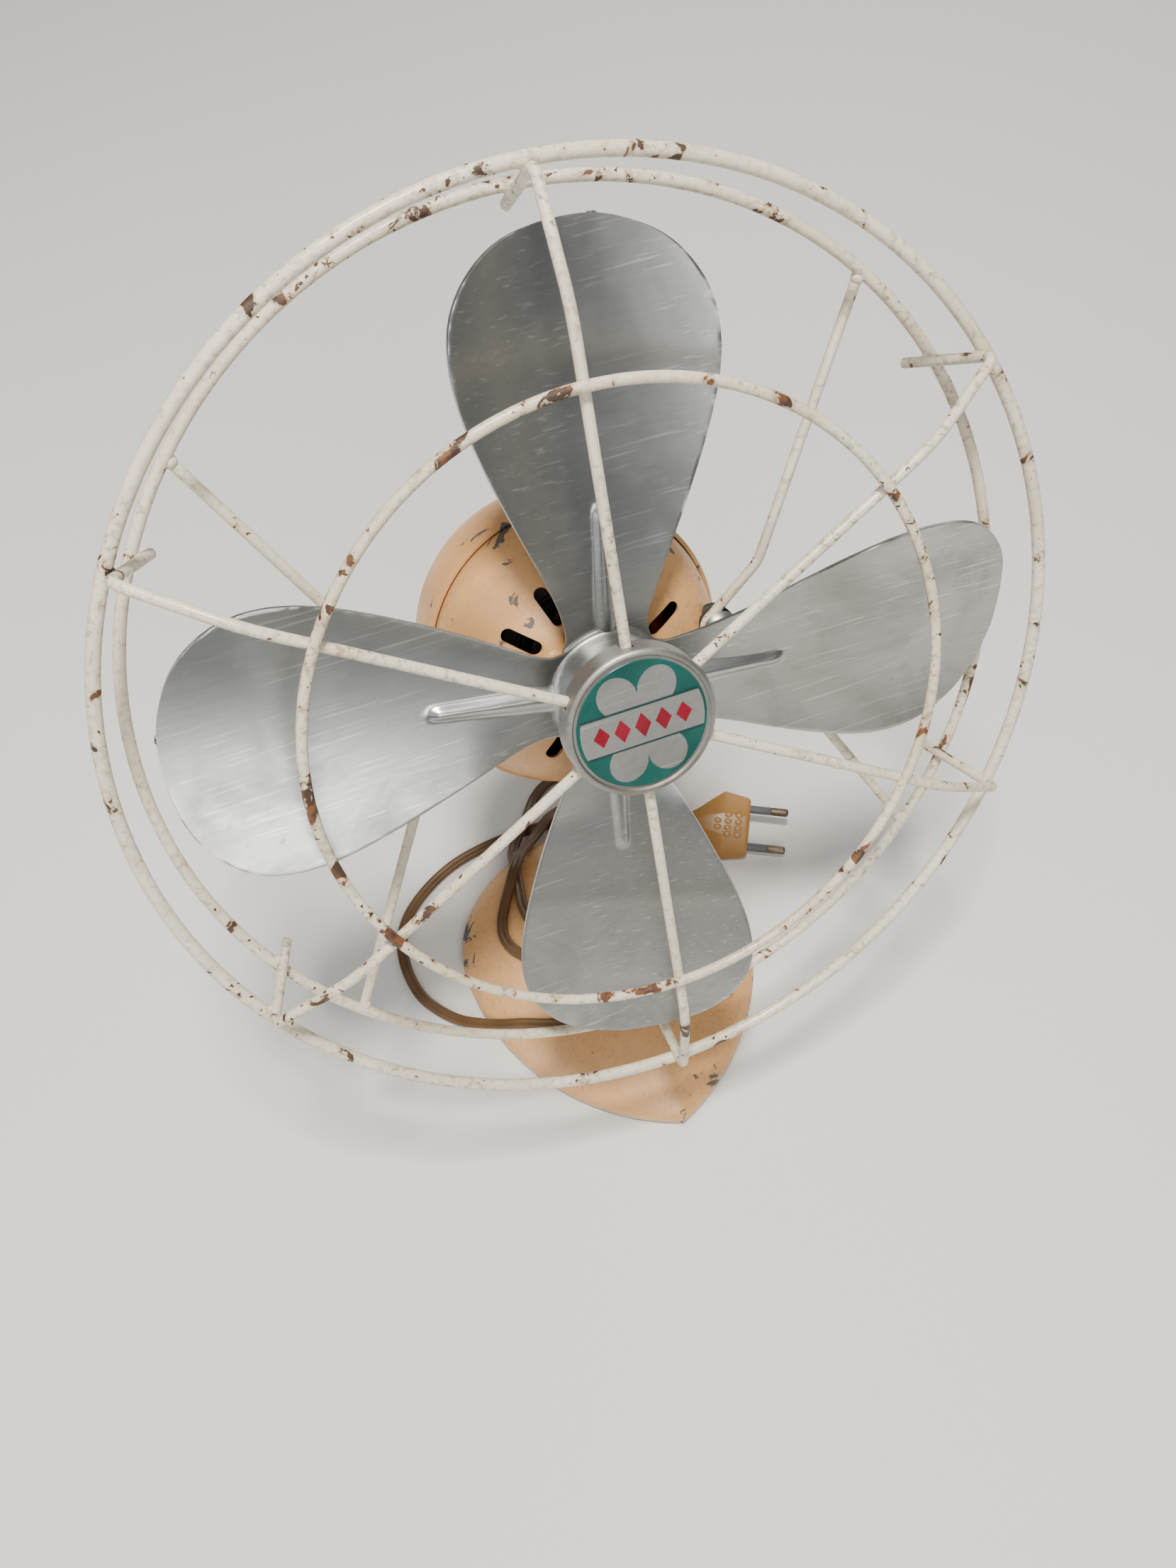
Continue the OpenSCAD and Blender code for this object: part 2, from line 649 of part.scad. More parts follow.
module bearing_rivets() {
    color(ochre) head() for (a = rivet_angles) rotate([0, 0, a]) translate([rivet_r, 0, 0]) {
        translate([0, 0, rivet_top]) dome_head(2.7, 1.8);
        translate([0, 0, front_bush_z - 2.4]) cylinder(d = 2.6, h = rivet_top - front_bush_z + 2.5);
    }
}

// ================= propeller =================
prop_z = -propeller_back;
hub_r = 12;
hub_l = 9;

// Outline of one blade, pointing along +X, as points on a smooth closed curve
blade_half = [[0, 15], [20, 16], [32, 20], [46, 26], [62, 33], [80, 40], [96, 45], [110, 47.5],
    [121, 46], [130, 40.5], [137, 31], [140.5, 18], [141, 7], [140, -6], [136.5, -17], [130, -26],
    [120, -33.5], [108, -37.5], [95, -38.5], [80, -36], [62, -29], [46, -23.5], [32, -18.5],
    [20, -16], [0, -15]];
function blade_outline() = [for (p = blade_half) [p[0] * blade_tip_r / 141, p[1] * blade_w / 86]];

module blade() {
    rotate([blade_pitch, 0, 0]) intersection() {
        translate([0, 0, -20]) linear_extrude(40) polygon(blade_outline());
        translate([12, 0, blade_camber_r]) rotate([0, 90, 0]) difference() {
            cylinder(r = blade_camber_r + sheet_t / 2, h = 150, $fn = 256);
            translate([0, 0, -1]) cylinder(r = blade_camber_r - sheet_t / 2, h = 152, $fn = 256);
        }
    }
    // stamped rib along the blade's root
    rotate([blade_pitch, 0, 0]) intersection() {
        translate([boss_r - 0.6, 0, 0]) rotate([0, 90, 0]) cylinder(r1 = 2.8, r2 = 1.4, h = 41);
        translate([0, -10, -0.45]) cube([80, 20, 10]);
    }
}

module propeller() {
    top_r = boss_r - 4;
    color(sheet_metal) head() translate([0, 0, prop_z]) difference() {
        union() {
            for (i = [0:3]) rotate([0, 0, propeller_turn + i * 90]) blade();
            rotate_extrude($fn = 96) polygon([
                [0, boss_h - sheet_t], [top_r - 0.6, boss_h - sheet_t], [boss_r - 1.4, -sheet_t / 2],
                [boss_r + 2.4, -sheet_t / 2], [boss_r + 2.4, sheet_t / 2], [boss_r, sheet_t / 2],
                [top_r, boss_h], [0, boss_h]]);
        }
        translate([0, 0, -sheet_t / 2 - 20]) cylinder(r1 = boss_r + 4, r2 = boss_r - 1.4, h = 20);
        translate([0, 0, -sheet_t / 2 - 0.01])
            cylinder(r1 = boss_r - 1.4, r2 = top_r - 0.6, h = boss_h - sheet_t / 2 + 0.01);
        translate([0, 0, -10]) cylinder(d = shaft_d + 0.4, h = 40);
        for (a = [0:120:359]) rotate([0, 0, a]) translate([hub_rivet_r, 0, -10]) cylinder(d = 3, h = 40);
    }
}

hub_rivet_r = 9;

module propeller_hub() {
    color("#c2c4c6") head() translate([0, 0, prop_z + boss_h - sheet_t - hub_l]) difference() {
        union() {
            cylinder(r = 8, h = hub_l);
            translate([0, 0, hub_l - 3]) cylinder(r = hub_r, h = 3 - 0.02);
            translate([0, 0, -8]) cylinder(r = 7, h = 9);
        }
        translate([0, 0, -20]) cylinder(d = shaft_d, h = 60);
        for (a = [0:120:359]) rotate([0, 0, a]) translate([hub_rivet_r, 0, hub_l - 4]) cylinder(d = 3, h = 40);
        translate([0, 0, -3.5]) rotate([0, 90, 0]) cylinder(d = 3.4, h = 20);
    }
}

module hub_rivets() {
    color(sheet_metal) head() for (a = [0:120:359]) rotate([0, 0, a])
        translate([hub_rivet_r, 0, prop_z + boss_h]) {
            cylinder(r = 2.4, h = 1);
            translate([0, 0, -4.2]) cylinder(d = 3, h = 4.3);
        }
}

module hub_set_screw() {
    color(steel) head() translate([shaft_d / 2 + 0.1, 0, prop_z + boss_h - sheet_t - hub_l - 3.5])
        rotate([0, 90, 0]) cylinder(d = 3.4, h = 4.6);
}

// ================= guard =================

// One spoke: out from the badge, over the front ring's inside, and back past the rear ring
module spoke(i) {
    color(cream) head() rotate([0, 0, guard_turn + 90 - i * 360 / spoke_count]) rotate([90, 0, 0])
        bent_wire(spoke_path, spoke_bends, spoke_wire);
}

module front_ring() {
    color(cream) head() ring(front_ring_r, front_ring_wire);
}

module rear_ring() {
    color(cream) head() ring(rear_ring_r, rear_ring_wire, -ring_gap);
}

module inner_ring() {
    color(cream) head() ring(inner_ring_r, inner_ring_wire,
        guard_bulge + (inner_ring_wire + spoke_wire) / 2 - weld);
}

strut_angle = 43;

// Wire bent to a V: both ends butt against the rear ring, the eye goes round the screw
module strut(side) {
    end_r = rear_ring_r - rear_ring_wire / 2 + 0.6;
    knee = [strut_screw_r + 17.5, 19.5];
    out = knee - [strut_screw_r, 0];
    tip = strut_eye_r / sin(atan2(out[1], out[0]) - asin(strut_eye_r / norm(out)));
    half = [[end_r * cos(strut_angle), end_r * sin(strut_angle)], knee];
    path = concat(half, [[strut_screw_r - tip, 0]], [[knee[0], -knee[1]], [half[0][0], -half[0][1]]]);
    color(cream) head() translate([0, 0, strut_z]) mirror([side < 0 ? 1 : 0, 0, 0])
        bent_wire(path, [0, 14, strut_eye_r, 14, 0], spoke_wire);
}

module strut_left() { strut(-1); }
module strut_right() { strut(1); }

module strut_bushes() {
    color(rubber) head() for (x = [-1, 1]) translate([x * strut_screw_r, 0, strut_z - spoke_wire / 2 - bush_t])
        tube(bush_r, 2.1, bush_t - 0.05);
}

module strut_screws() {
    color("#b4b8bb") head() for (x = [-1, 1]) translate([x * strut_screw_r, 0, strut_z + spoke_wire / 2]) {
        slotted_dome(6.4, 3.4, 1.2);
        translate([0, 0, -spoke_wire - 11]) cylinder(d = 4, h = spoke_wire + 11.1);
    }
}

// ================= badge =================
badge_front = guard_bulge - spoke_wire / 2 + badge_depth - 1.2;
badge_rear = badge_front - badge_depth;

// Shallow drawn cup with a rolled rim; its wall is notched for the spokes
module badge_cup() {
    color("#b3b4b2") head() difference() {
        translate([0, 0, badge_rear]) rotate_extrude($fn = 128) difference() {
            union() {
                square([badge_r, badge_depth - 1.6]);
                square([badge_r - 1.6, badge_depth]);
                translate([badge_r - 1.6, badge_depth - 1.6]) circle(r = 1.6, $fn = 32);
            }
            translate([-1, badge_depth - 0.8]) square([badge_r - 1.2, 2]);
            translate([-1, -1]) square([badge_r - badge_wall + 1, badge_depth - badge_wall - 0.2]);
        }
        for (i = [0:spoke_count - 1]) rotate([0, 0, guard_turn + 90 - i * 360 / spoke_count])
            translate([badge_r - 4, -spoke_wire / 2 - 0.15, badge_rear - 1])
                cube([8, spoke_wire + 0.3, guard_bulge + spoke_wire / 2 + 0.2 - badge_rear + 1]);
    }
}

// Disc that the spokes are welded to inside the cup
module badge_back() {
    back_z = guard_bulge - spoke_wire / 2 - 1 + 0.15;
    color(steel) head() translate([0, 0, back_z]) difference() {
        cylinder(r = badge_r - badge_wall - 0.05, h = 1);
        translate([0, 0, -1]) cylinder(r = 3, h = 4);
    }
}

module badge_emblem() {
    color("#1f6b5e") head() translate([0, 0, badge_front - 0.8 + 0.02]) cylinder(r = emblem_r, h = 0.4);
}

// ================= lead and plug =================
sleeve_z = base_h + 12;
sleeve_neck_r = 4;
sleeve_l = 25;
sleeve_x = neck_foot_r - 1.8;

// Tapered rubber sleeve out of the side of the neck
module cord_sleeve() {
    color(rubber) translate([sleeve_x, neck_y, sleeve_z]) rotate([0, 90, 0]) difference() {
        union() {
            cylinder(r = sleeve_neck_r, h = 5);
            translate([0, 0, 4]) cylinder(r = 5.4, h = 2.2);
            translate([0, 0, 6]) cylinder(r1 = 4.4, r2 = 3.2, h = sleeve_l - 6);
        }
        translate([0, 0, sleeve_l - 6]) cylinder(d = cord_d + 2 * fit, h = 7);
    }
}

function over_base(p) = let (q = edge_share(p[0], p[1])) q < 1 ? skin_h(q, 0) : 0;
plug_dir = [cos(plug_aim), sin(plug_aim), 0];
plug_end = [plug_tail[0], plug_tail[1], plug_z];

module cord() {
    color(lead_brown) rod(concat(
        [for (p = cord_start) p + [sleeve_x, neck_y, sleeve_z]],
        [for (p = cord_lay) p + [0, 0, over_base(p)]],
        [plug_end - 9 * plug_dir, plug_end]), cord_d, 8);
}

// Moves the plug's own frame (pins along +X) to where it lies
module at_plug() {
    translate(plug_end) rotate([0, 0, plug_aim]) rotate([plug_roll, 0, 0]) children();
}

module plug_body() {
    tail_w = 9;
    face_w = plug_w - 5;
    color("#a8763a") at_plug() difference() {
        intersection() {
            linear_extrude(plug_t, center = true) polygon([
                [0, -tail_w / 2], [8, -tail_w / 2 - 1], [plug_l - 13, -plug_w / 2], [plug_l, -face_w / 2],
                [plug_l, face_w / 2], [plug_l - 13, plug_w / 2], [8, tail_w / 2 + 1], [0, tail_w / 2]]);
            rotate([90, 0, 0]) linear_extrude(plug_w + 2, center = true) polygon([
                [0, -3.4], [8, -4.2], [17, -plug_t / 2], [plug_l, -plug_t / 2],
                [plug_l, plug_t / 2], [17, plug_t / 2], [8, 4.2], [0, 3.4]]);
            rotate([90, 0, 90]) linear_extrude(plug_l) polygon([
                [-plug_w / 2, -plug_edge], [-plug_flat, -plug_t / 2], [plug_flat, -plug_t / 2],
                [plug_w / 2, -plug_edge], [plug_w / 2, plug_edge], [plug_flat, plug_t / 2],
                [-plug_flat, plug_t / 2], [-plug_w / 2, plug_edge]]);
        }
        for (y = [-1, 1]) translate([plug_l - 12, y * pin_pitch / 2, 0]) rotate([0, 90, 0])
            cylinder(d = pin_d - 1, h = 20);
    }
}

module plug_sleeves() {
    color("#6d6f72") at_plug() for (y = [-1, 1]) translate([plug_l + pin_groove, y * pin_pitch / 2, 0])
        rotate([0, 90, 0]) tube(pin_d / 2, pin_d / 2 - 0.5, 10 - pin_groove);
}

module plug_pins() {
    color("#7f7667") at_plug() for (y = [-1, 1]) translate([plug_l - 12, y * pin_pitch / 2, 0])
        rotate([0, 90, 0]) {
            cylinder(d = pin_d - 1, h = 23);
            translate([0, 0, 22]) cylinder(d = pin_d, h = pin_l - 11);
            translate([0, 0, pin_l + 11]) cylinder(d1 = pin_d, d2 = pin_d - 1.6, h = 1);
        }
}

base_shell();
base_plate();
felt_pad();
base_screws();
neck();
neck_screws();
cord_sleeve();
tilt_bolt();
tilt_washers();
tilt_knob();
motor_front_shell();
motor_rear_shell();
shell_screws();
motor_lug();
lug_rivets();
stator_core();
stator_coils();
front_bearing();
rear_bearing();
bearing_plates();
bearing_rivets();
rotor();
shaft();
shaft_collars();
propeller();
propeller_hub();
hub_rivets();
hub_set_screw();
strut_bushes();
strut_screws();
strut_left();
strut_right();
front_ring();
rear_ring();
inner_ring();
spoke(0);  // spoke_1
spoke(1);  // spoke_2
spoke(2);  // spoke_3
spoke(3);  // spoke_4
spoke(4);  // spoke_5
spoke(5);  // spoke_6
badge_cup();
badge_back();
badge_emblem();
cord();
plug_body();
plug_sleeves();
plug_pins();
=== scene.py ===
import json
import math

import bmesh
import bpy
from mathutils import Matrix, Vector


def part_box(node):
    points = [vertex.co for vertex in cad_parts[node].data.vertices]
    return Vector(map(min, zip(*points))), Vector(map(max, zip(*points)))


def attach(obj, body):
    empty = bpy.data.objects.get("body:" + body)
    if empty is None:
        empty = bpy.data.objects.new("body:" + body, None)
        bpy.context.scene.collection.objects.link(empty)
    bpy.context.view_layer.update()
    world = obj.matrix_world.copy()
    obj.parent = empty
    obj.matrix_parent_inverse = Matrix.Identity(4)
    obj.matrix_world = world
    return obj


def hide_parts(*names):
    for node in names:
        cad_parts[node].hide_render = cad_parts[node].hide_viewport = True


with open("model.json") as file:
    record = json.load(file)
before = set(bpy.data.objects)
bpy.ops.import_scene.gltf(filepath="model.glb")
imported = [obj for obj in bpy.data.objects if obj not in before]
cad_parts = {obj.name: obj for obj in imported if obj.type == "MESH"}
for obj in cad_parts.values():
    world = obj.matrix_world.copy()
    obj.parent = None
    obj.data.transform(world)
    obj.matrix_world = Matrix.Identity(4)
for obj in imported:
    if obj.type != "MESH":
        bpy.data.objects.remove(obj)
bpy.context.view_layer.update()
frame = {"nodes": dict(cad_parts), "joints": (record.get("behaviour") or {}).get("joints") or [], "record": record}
MM = 0.001

# ---------------------------------------------------------------- places, from the frame
joints = {joint["name"]: joint for joint in frame["joints"]}
tilt_pivot = Vector(joints["head_tilt"]["pos_m"])
fan_axis = Vector(joints["fan_spin"]["axis"]).normalized()
head_up = fan_axis.cross(Vector((1, 0, 0)))
motor_rise = 64 * MM
pivot_back = 52 * MM
head_origin = tilt_pivot + head_up * motor_rise + fan_axis * pivot_back
# head space: x right, y up, z out of the front ring
HEAD = Matrix.Translation(head_origin) @ Matrix((
    (1, head_up.x, fan_axis.x, 0), (0, head_up.y, fan_axis.y, 0),
    (0, head_up.z, fan_axis.z, 0), (0, 0, 0, 1)))
base_low, base_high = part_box("base_shell")
base_half_w = base_high.x
base_back = base_high.y
base_tip = base_low.y
base_top = base_high.z
neck_y = tilt_pivot.y


# ---------------------------------------------------------------- small tools
def linear(r, g, b):
    """Screen colour, 0 to 255, as the shader's linear colour."""
    return tuple(((c / 255 + 0.055) / 1.055) ** 2.4 if c > 10 else c / 3295
                 for c in (r, g, b)) + (1,)


def settle(name, bm, body, material, nodes=(), place=Matrix(), sharp=35, flip=False):
    """Turns a bmesh into a finished piece that rides on a body."""
    bmesh.ops.remove_doubles(bm, verts=bm.verts, dist=1e-6)
    bmesh.ops.recalc_face_normals(bm, faces=bm.faces)
    if flip:
        bmesh.ops.reverse_faces(bm, faces=bm.faces)
    bmesh.ops.transform(bm, matrix=place, verts=bm.verts)
    mesh = bpy.data.meshes.new(name)
    bm.to_mesh(mesh)
    bm.free()
    return settle_mesh(name, mesh, body, material, nodes, sharp)


def settle_mesh(name, mesh, body, material, nodes=(), sharp=35):
    """Turns a mesh into a finished piece: shading, material, body, nodes it stands for."""
    mesh.shade_smooth()
    mesh.set_sharp_from_angle(angle=math.radians(sharp))
    mesh.materials.clear()
    mesh.materials.append(material)
    piece = bpy.data.objects.new(name, mesh)
    bpy.context.collection.objects.link(piece)
    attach(piece, body)
    if nodes:
        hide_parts(*nodes)
    return piece


def turned(profile, steps=96):
    """Solid of revolution about z from (radius, z) points in metres."""
    bm = bmesh.new()
    verts = [bm.verts.new((max(r, 0), 0, z)) for r, z in profile]
    edges = [bm.edges.new(pair) for pair in zip(verts, verts[1:])]
    bmesh.ops.spin(bm, geom=verts + edges, cent=(0, 0, 0), axis=(0, 0, 1), angle=math.tau,
                   steps=steps, use_merge=True)
    bmesh.ops.remove_doubles(bm, verts=bm.verts, dist=1e-6)
    bmesh.ops.holes_fill(bm, edges=bm.edges, sides=steps + 2)
    return bm


def arc(centre, radius, start, end, steps):
    """Points of an arc in a profile, angles in degrees."""
    return [(centre[0] + radius * math.cos(math.radians(start + (end - start) * i / steps)),
             centre[1] + radius * math.sin(math.radians(start + (end - start) * i / steps)))
            for i in range(steps + 1)]


def bent_path(corners, radii, step=6):
    """Corners of a wire, each rounded to its radius."""
    points = [Vector(corners[0])]
    for i in range(1, len(corners) - 1):
        before, at, after = (Vector(corners[j]) for j in (i - 1, i, i + 1))
        into = (at - before).normalized()
        out = (after - at).normalized()
        turn = into.angle(out)
        if turn < 1e-3 or radii[i] == 0:
            points.append(at)
            continue
        side = (out - into * into.dot(out)).normalized()
        start = at - into * radii[i] * math.tan(turn / 2)
        centre = start + side * radii[i]
        count = max(2, int(math.degrees(turn) / step))
        points += [centre + (into * math.sin(turn * k / count) - side
                             * math.cos(turn * k / count)) * radii[i]
                   for k in range(count + 1)]
    return points + [Vector(corners[-1])]


def smooth_route(points, step):
    """Even points on the curve that runs smoothly through the given ones."""
    dense = []
    for i in range(len(points) - 1):
        a, b, c, d = (points[max(0, min(len(points) - 1, i + k))] for k in (-1, 0, 1, 2))
        for k in range(12):
            t = k / 12
            dense.append(0.5 * (2 * b + (c - a) * t + (2 * a - 5 * b + 4 * c - d) * t * t
                                + (3 * b - a - 3 * c + d) * t ** 3))
    dense.append(points[-1])
    even, run = [dense[0]], 0
    for a, b in zip(dense, dense[1:]):
        run += (b - a).length
        if run >= step:
            even.append(b)
            run = 0
    if (even[-1] - dense[-1]).length > 1e-4:
        even.append(dense[-1])
    return even


def tube_mesh(name, points, section, place=Matrix()):
    """Mesh of a rod with the given cross-section along points, its flat side kept level."""
    shape = bpy.data.curves.new(name + "_section", "CURVE")
    shape.dimensions = "2D"
    ring = shape.splines.new("POLY")
    ring.points.add(len(section) - 1)
    for point, (x, y) in zip(ring.points, section):
        point.co = (x, y, 0, 1)
    ring.use_cyclic_u = True
    shape_object = bpy.data.objects.new(name + "_section", shape)
    line = bpy.data.curves.new(name + "_line", "CURVE")
    line.dimensions = "3D"
    line.twist_mode = "Z_UP"
    line.bevel_mode = "OBJECT"
    line.bevel_object = shape_object
    line.use_fill_caps = True
    spline = line.splines.new("POLY")
    spline.points.add(len(points) - 1)
    for point, co in zip(spline.points, points):
        point.co = (*co, 1)
    line_object = bpy.data.objects.new(name + "_line", line)
    bpy.context.collection.objects.link(line_object)
    bpy.context.collection.objects.link(shape_object)
    graph = bpy.context.evaluated_depsgraph_get()
    mesh = bpy.data.meshes.new_from_object(line_object.evaluated_get(graph))
    bm = bmesh.new()
    bm.from_mesh(mesh)
    bmesh.ops.remove_doubles(bm, verts=bm.verts, dist=1e-7)
    bmesh.ops.recalc_face_normals(bm, faces=bm.faces)
    bm.to_mesh(mesh)
    bm.free()
    mesh.transform(place)
    mesh.name = name
    for thing in (line_object, shape_object):
        bpy.data.objects.remove(thing)
    return mesh


def circle_section(diameter, sides=16):
    """Points of a round wire's section."""
    return [(diameter / 2 * math.cos(math.tau * k / sides),
             diameter / 2 * math.sin(math.tau * k / sides))
            for k in range(sides)]


# ---------------------------------------------------------------- finishes
def new_finish(name, metallic=0.0, coat=0.0, specular=0.5):
    """A material with its shader, Object coordinates and node maker."""
    material = bpy.data.materials.new(name)
    material.use_nodes = True
    tree = material.node_tree
    shader = tree.nodes["Principled BSDF"]
    shader.inputs["Metallic"].default_value = metallic
    shader.inputs["Coat Weight"].default_value = coat
    shader.inputs["Specular IOR Level"].default_value = specular
    spot = tree.nodes.new("ShaderNodeTexCoord").outputs["Object"]
    return material, tree, shader, spot


def stretched(tree, spot, scale, turn=(0, 0, 0)):
    """Coordinates scaled and turned, for a pattern with a direction."""
    mapping = tree.nodes.new("ShaderNodeMapping")
    mapping.inputs["Scale"].default_value = scale
    mapping.inputs["Rotation"].default_value = turn
    tree.links.new(spot, mapping.inputs["Vector"])
    return mapping.outputs["Vector"]


def speckle(tree, spot, scale, detail=6.0, rough=0.6, distortion=0.0):
    """Noise from 0 to 1."""
    noise = tree.nodes.new("ShaderNodeTexNoise")
    noise.inputs["Scale"].default_value = scale
    noise.inputs["Detail"].default_value = detail
    noise.inputs["Roughness"].default_value = rough
    noise.inputs["Distortion"].default_value = distortion
    tree.links.new(spot, noise.inputs["Vector"])
    return noise.outputs["Fac"]


def band(tree, value, low, high, out_low=0.0, out_high=1.0):
    """Maps value from low..high to out_low..out_high, held at the ends."""
    node = tree.nodes.new("ShaderNodeMapRange")
    node.inputs["From Min"].default_value = low
    node.inputs["From Max"].default_value = high
    node.inputs["To Min"].default_value = out_low
    node.inputs["To Max"].default_value = out_high
    tree.links.new(value, node.inputs["Value"])
    return node.outputs["Result"]


def combine(tree, kind, a, b):
    """One arithmetic step on two sockets or numbers."""
    node = tree.nodes.new("ShaderNodeMath")
    node.operation = kind
    for socket, value in zip(node.inputs, (a, b)):
        if isinstance(value, (int, float)):
            socket.default_value = value
        else:
            tree.links.new(value, socket)
    return node.outputs["Value"]


def tint(tree, amount, colour_a, colour_b):
    """Colour a where amount is 0 and colour b where it is 1."""
    node = tree.nodes.new("ShaderNodeMix")
    node.data_type = "RGBA"
    tree.links.new(amount, node.inputs["Factor"])
    for socket, colour in ((node.inputs[6], colour_a), (node.inputs[7], colour_b)):
        if isinstance(colour, tuple):
            socket.default_value = colour
        else:
            tree.links.new(colour, socket)
    return node.outputs[2]


def relief(tree, shader, height, strength, depth):
    """Fine surface relief from a height."""
    bump = tree.nodes.new("ShaderNodeBump")
    bump.inputs["Strength"].default_value = strength
    bump.inputs["Distance"].default_value = depth
    tree.links.new(height, bump.inputs["Height"])
    tree.links.new(bump.outputs["Normal"], shader.inputs["Normal"])


def worn_paint(name, colour, shade, chip, chips=0.645, grime=0.0, rust=None, gloss=0.34, edge=None,
               specks=0.0):
    """Old enamel: mottled colour, dark grime specks, chips down to the metal and a little rust."""
    material, tree, shader, spot = new_finish(name, coat=0.12)
    mottle = band(tree, speckle(tree, spot, 22, 5), 0.35, 0.68)
    paint = tint(tree, mottle, colour, shade)
    dirt = combine(tree, "MULTIPLY", band(tree, speckle(tree, spot, 430, 4, 0.7), 0.5, 0.68, 0,
                                          grime),
                   band(tree, speckle(tree, spot, 34, 4), 0.36, 0.66, 0.25, 1))
    paint = tint(tree, dirt, paint, linear(96, 86, 70))
    flakes = speckle(tree, spot, 88, 9, 0.62, 0.6)
    patches = band(tree, speckle(tree, spot, 15, 3), 0.38, 0.72, -0.05, 0.065)
    flakes = combine(tree, "ADD", flakes, patches)
    if edge:
        height = tree.nodes.new("ShaderNodeSeparateXYZ")
        tree.links.new(spot, height.inputs["Vector"])
        flakes = combine(tree, "ADD", flakes, band(tree, height.outputs["Z"], edge[0], edge[1],
                                                   edge[2], 0))
    bare = band(tree, flakes, chips, chips + 0.01)
    if specks:
        nicks = band(tree, combine(tree, "ADD", speckle(tree, spot, 300, 5, 0.6), patches), specks,
                     specks + 0.012)
        bare = combine(tree, "MAXIMUM", bare, nicks)
    metal = chip
    if rust:
        metal = tint(tree, band(tree, speckle(tree, spot, 190, 4), 0.46, 0.58), chip, rust)
        halo = band(tree, flakes, chips - 0.05, chips, 0, 0.5)
        paint = tint(tree, halo, paint, linear(156, 120, 78))
    tree.links.new(tint(tree, bare, paint, metal), shader.inputs["Base Color"])
    dull = band(tree, speckle(tree, spot, 60, 5), 0.3, 0.75, gloss - 0.06, gloss + 0.2)
    tree.links.new(combine(tree, "MAXIMUM", dull, combine(tree, "MULTIPLY", bare, 0.62)),
                   shader.inputs["Roughness"])
    skin = combine(tree, "SUBTRACT", combine(tree, "MULTIPLY", speckle(tree, spot, 240, 3), 0.3),
                   bare)
    relief(tree, shader, skin, 0.4, 0.0003)
    return material


def metal_finish(name, colour, stain, roughness, grain=(1, 1, 1), grain_scale=900,
                 stains=(0.45, 0.7), turn=(0, 0, 0),
                 spotting=0.6, scratches=0.0):
    """Bare metal with brushing along one direction, dull stains and fine scratches."""
    material, tree, shader, spot = new_finish(name, metallic=1.0)
    cloud = band(tree, speckle(tree, spot, 24, 6, 0.6, 0.6), *stains)
    spots = band(tree, speckle(tree, spot, 210, 3, 0.5), 0.64, 0.7, 0, spotting)
    dirt = combine(tree, "MAXIMUM", cloud, spots)
    lay = stretched(tree, spot, grain, turn)
    brushing = speckle(tree, lay, grain_scale, 3, 0.5)
    tone = band(tree, brushing, 0.3, 0.7, 0, 0.35)
    bright = tint(tree, tone, colour, tuple(0.74 * c for c in colour[:3]) + (1,))
    shade = tint(tree, dirt, bright, stain)
    rough = band(tree, dirt, 0, 1, roughness, min(0.8, roughness + 0.2))
    if scratches:
        lines = band(tree, speckle(tree, stretched(tree, spot, (0.14, 7, 7), (0, 0.1, 0.12)), 150,
                                   3, 0.5), 0.6, 0.7, 0,
                     scratches)
        shade = tint(tree, lines, shade, linear(236, 236, 232))
    tree.links.new(shade, shader.inputs["Base Color"])
    tree.links.new(rough, shader.inputs["Roughness"])
    relief(tree, shader, brushing, 0.14, 0.00007)
    return material


def moulded(name, colour, shade, roughness, pebble=900, depth=0.00006):
    """Rubber or plastic with a fine skin and rubbed, dusty patches."""
    material, tree, shader, spot = new_finish(name)
    rubbed = band(tree, speckle(tree, spot, 55, 6), 0.35, 0.7)
    tree.links.new(tint(tree, rubbed, colour, shade), shader.inputs["Base Color"])
    tree.links.new(band(tree, speckle(tree, spot, 120, 4), 0.3, 0.7, roughness - 0.08,
                        roughness + 0.1),
                   shader.inputs["Roughness"])
    relief(tree, shader, speckle(tree, spot, pebble, 2), 0.4, depth)
    return material


CREAM = worn_paint("cream guard enamel", linear(226, 217, 196), linear(203, 192, 168),
                   linear(62, 46, 33),
                   chips=0.625, grime=0.8, rust=linear(92, 60, 36), specks=0.655)
RUSTY_CREAM = worn_paint("cream guard enamel with rust", linear(224, 214, 192),
                         linear(200, 186, 158),
                         linear(60, 42, 29), chips=0.597, grime=0.9, rust=linear(112, 68, 36),
                         specks=0.64)
OCHRE = worn_paint("ochre enamel", linear(216, 167, 113), linear(203, 152, 98), linear(92, 84, 78),
                   chips=0.672, grime=0.35, gloss=0.32)
BASE_OCHRE = worn_paint("ochre base enamel", linear(216, 167, 113), linear(203, 152, 98),
                        linear(88, 82, 78),
                        chips=0.655, grime=0.35, gloss=0.32, edge=(0.003, 0.012, 0.075))
BLADE = metal_finish("brushed blade aluminium", linear(176, 178, 176), linear(134, 135, 130), 0.3,
                     grain=(0.05, 1, 1), stains=(0.46, 0.8), spotting=0.25, scratches=0.4)
BADGE = metal_finish("dull badge aluminium", linear(182, 181, 177), linear(120, 115, 106), 0.42,
                     stains=(0.42, 0.7))
STEEL = metal_finish("dark plated steel", linear(150, 150, 148), linear(86, 78, 68), 0.4)
ZINC = metal_finish("zinc plated screw", linear(186, 186, 182), linear(112, 104, 92), 0.34)
IRON = metal_finish("stamped core iron", linear(96, 94, 92), linear(60, 50, 42), 0.5)
COPPER = metal_finish("enamelled copper wire", linear(166, 92, 48), linear(96, 50, 28), 0.38,
                      grain=(1, 1, 0.1))
BRONZE = metal_finish("bush bronze", linear(176, 138, 80), linear(104, 78, 44), 0.4)
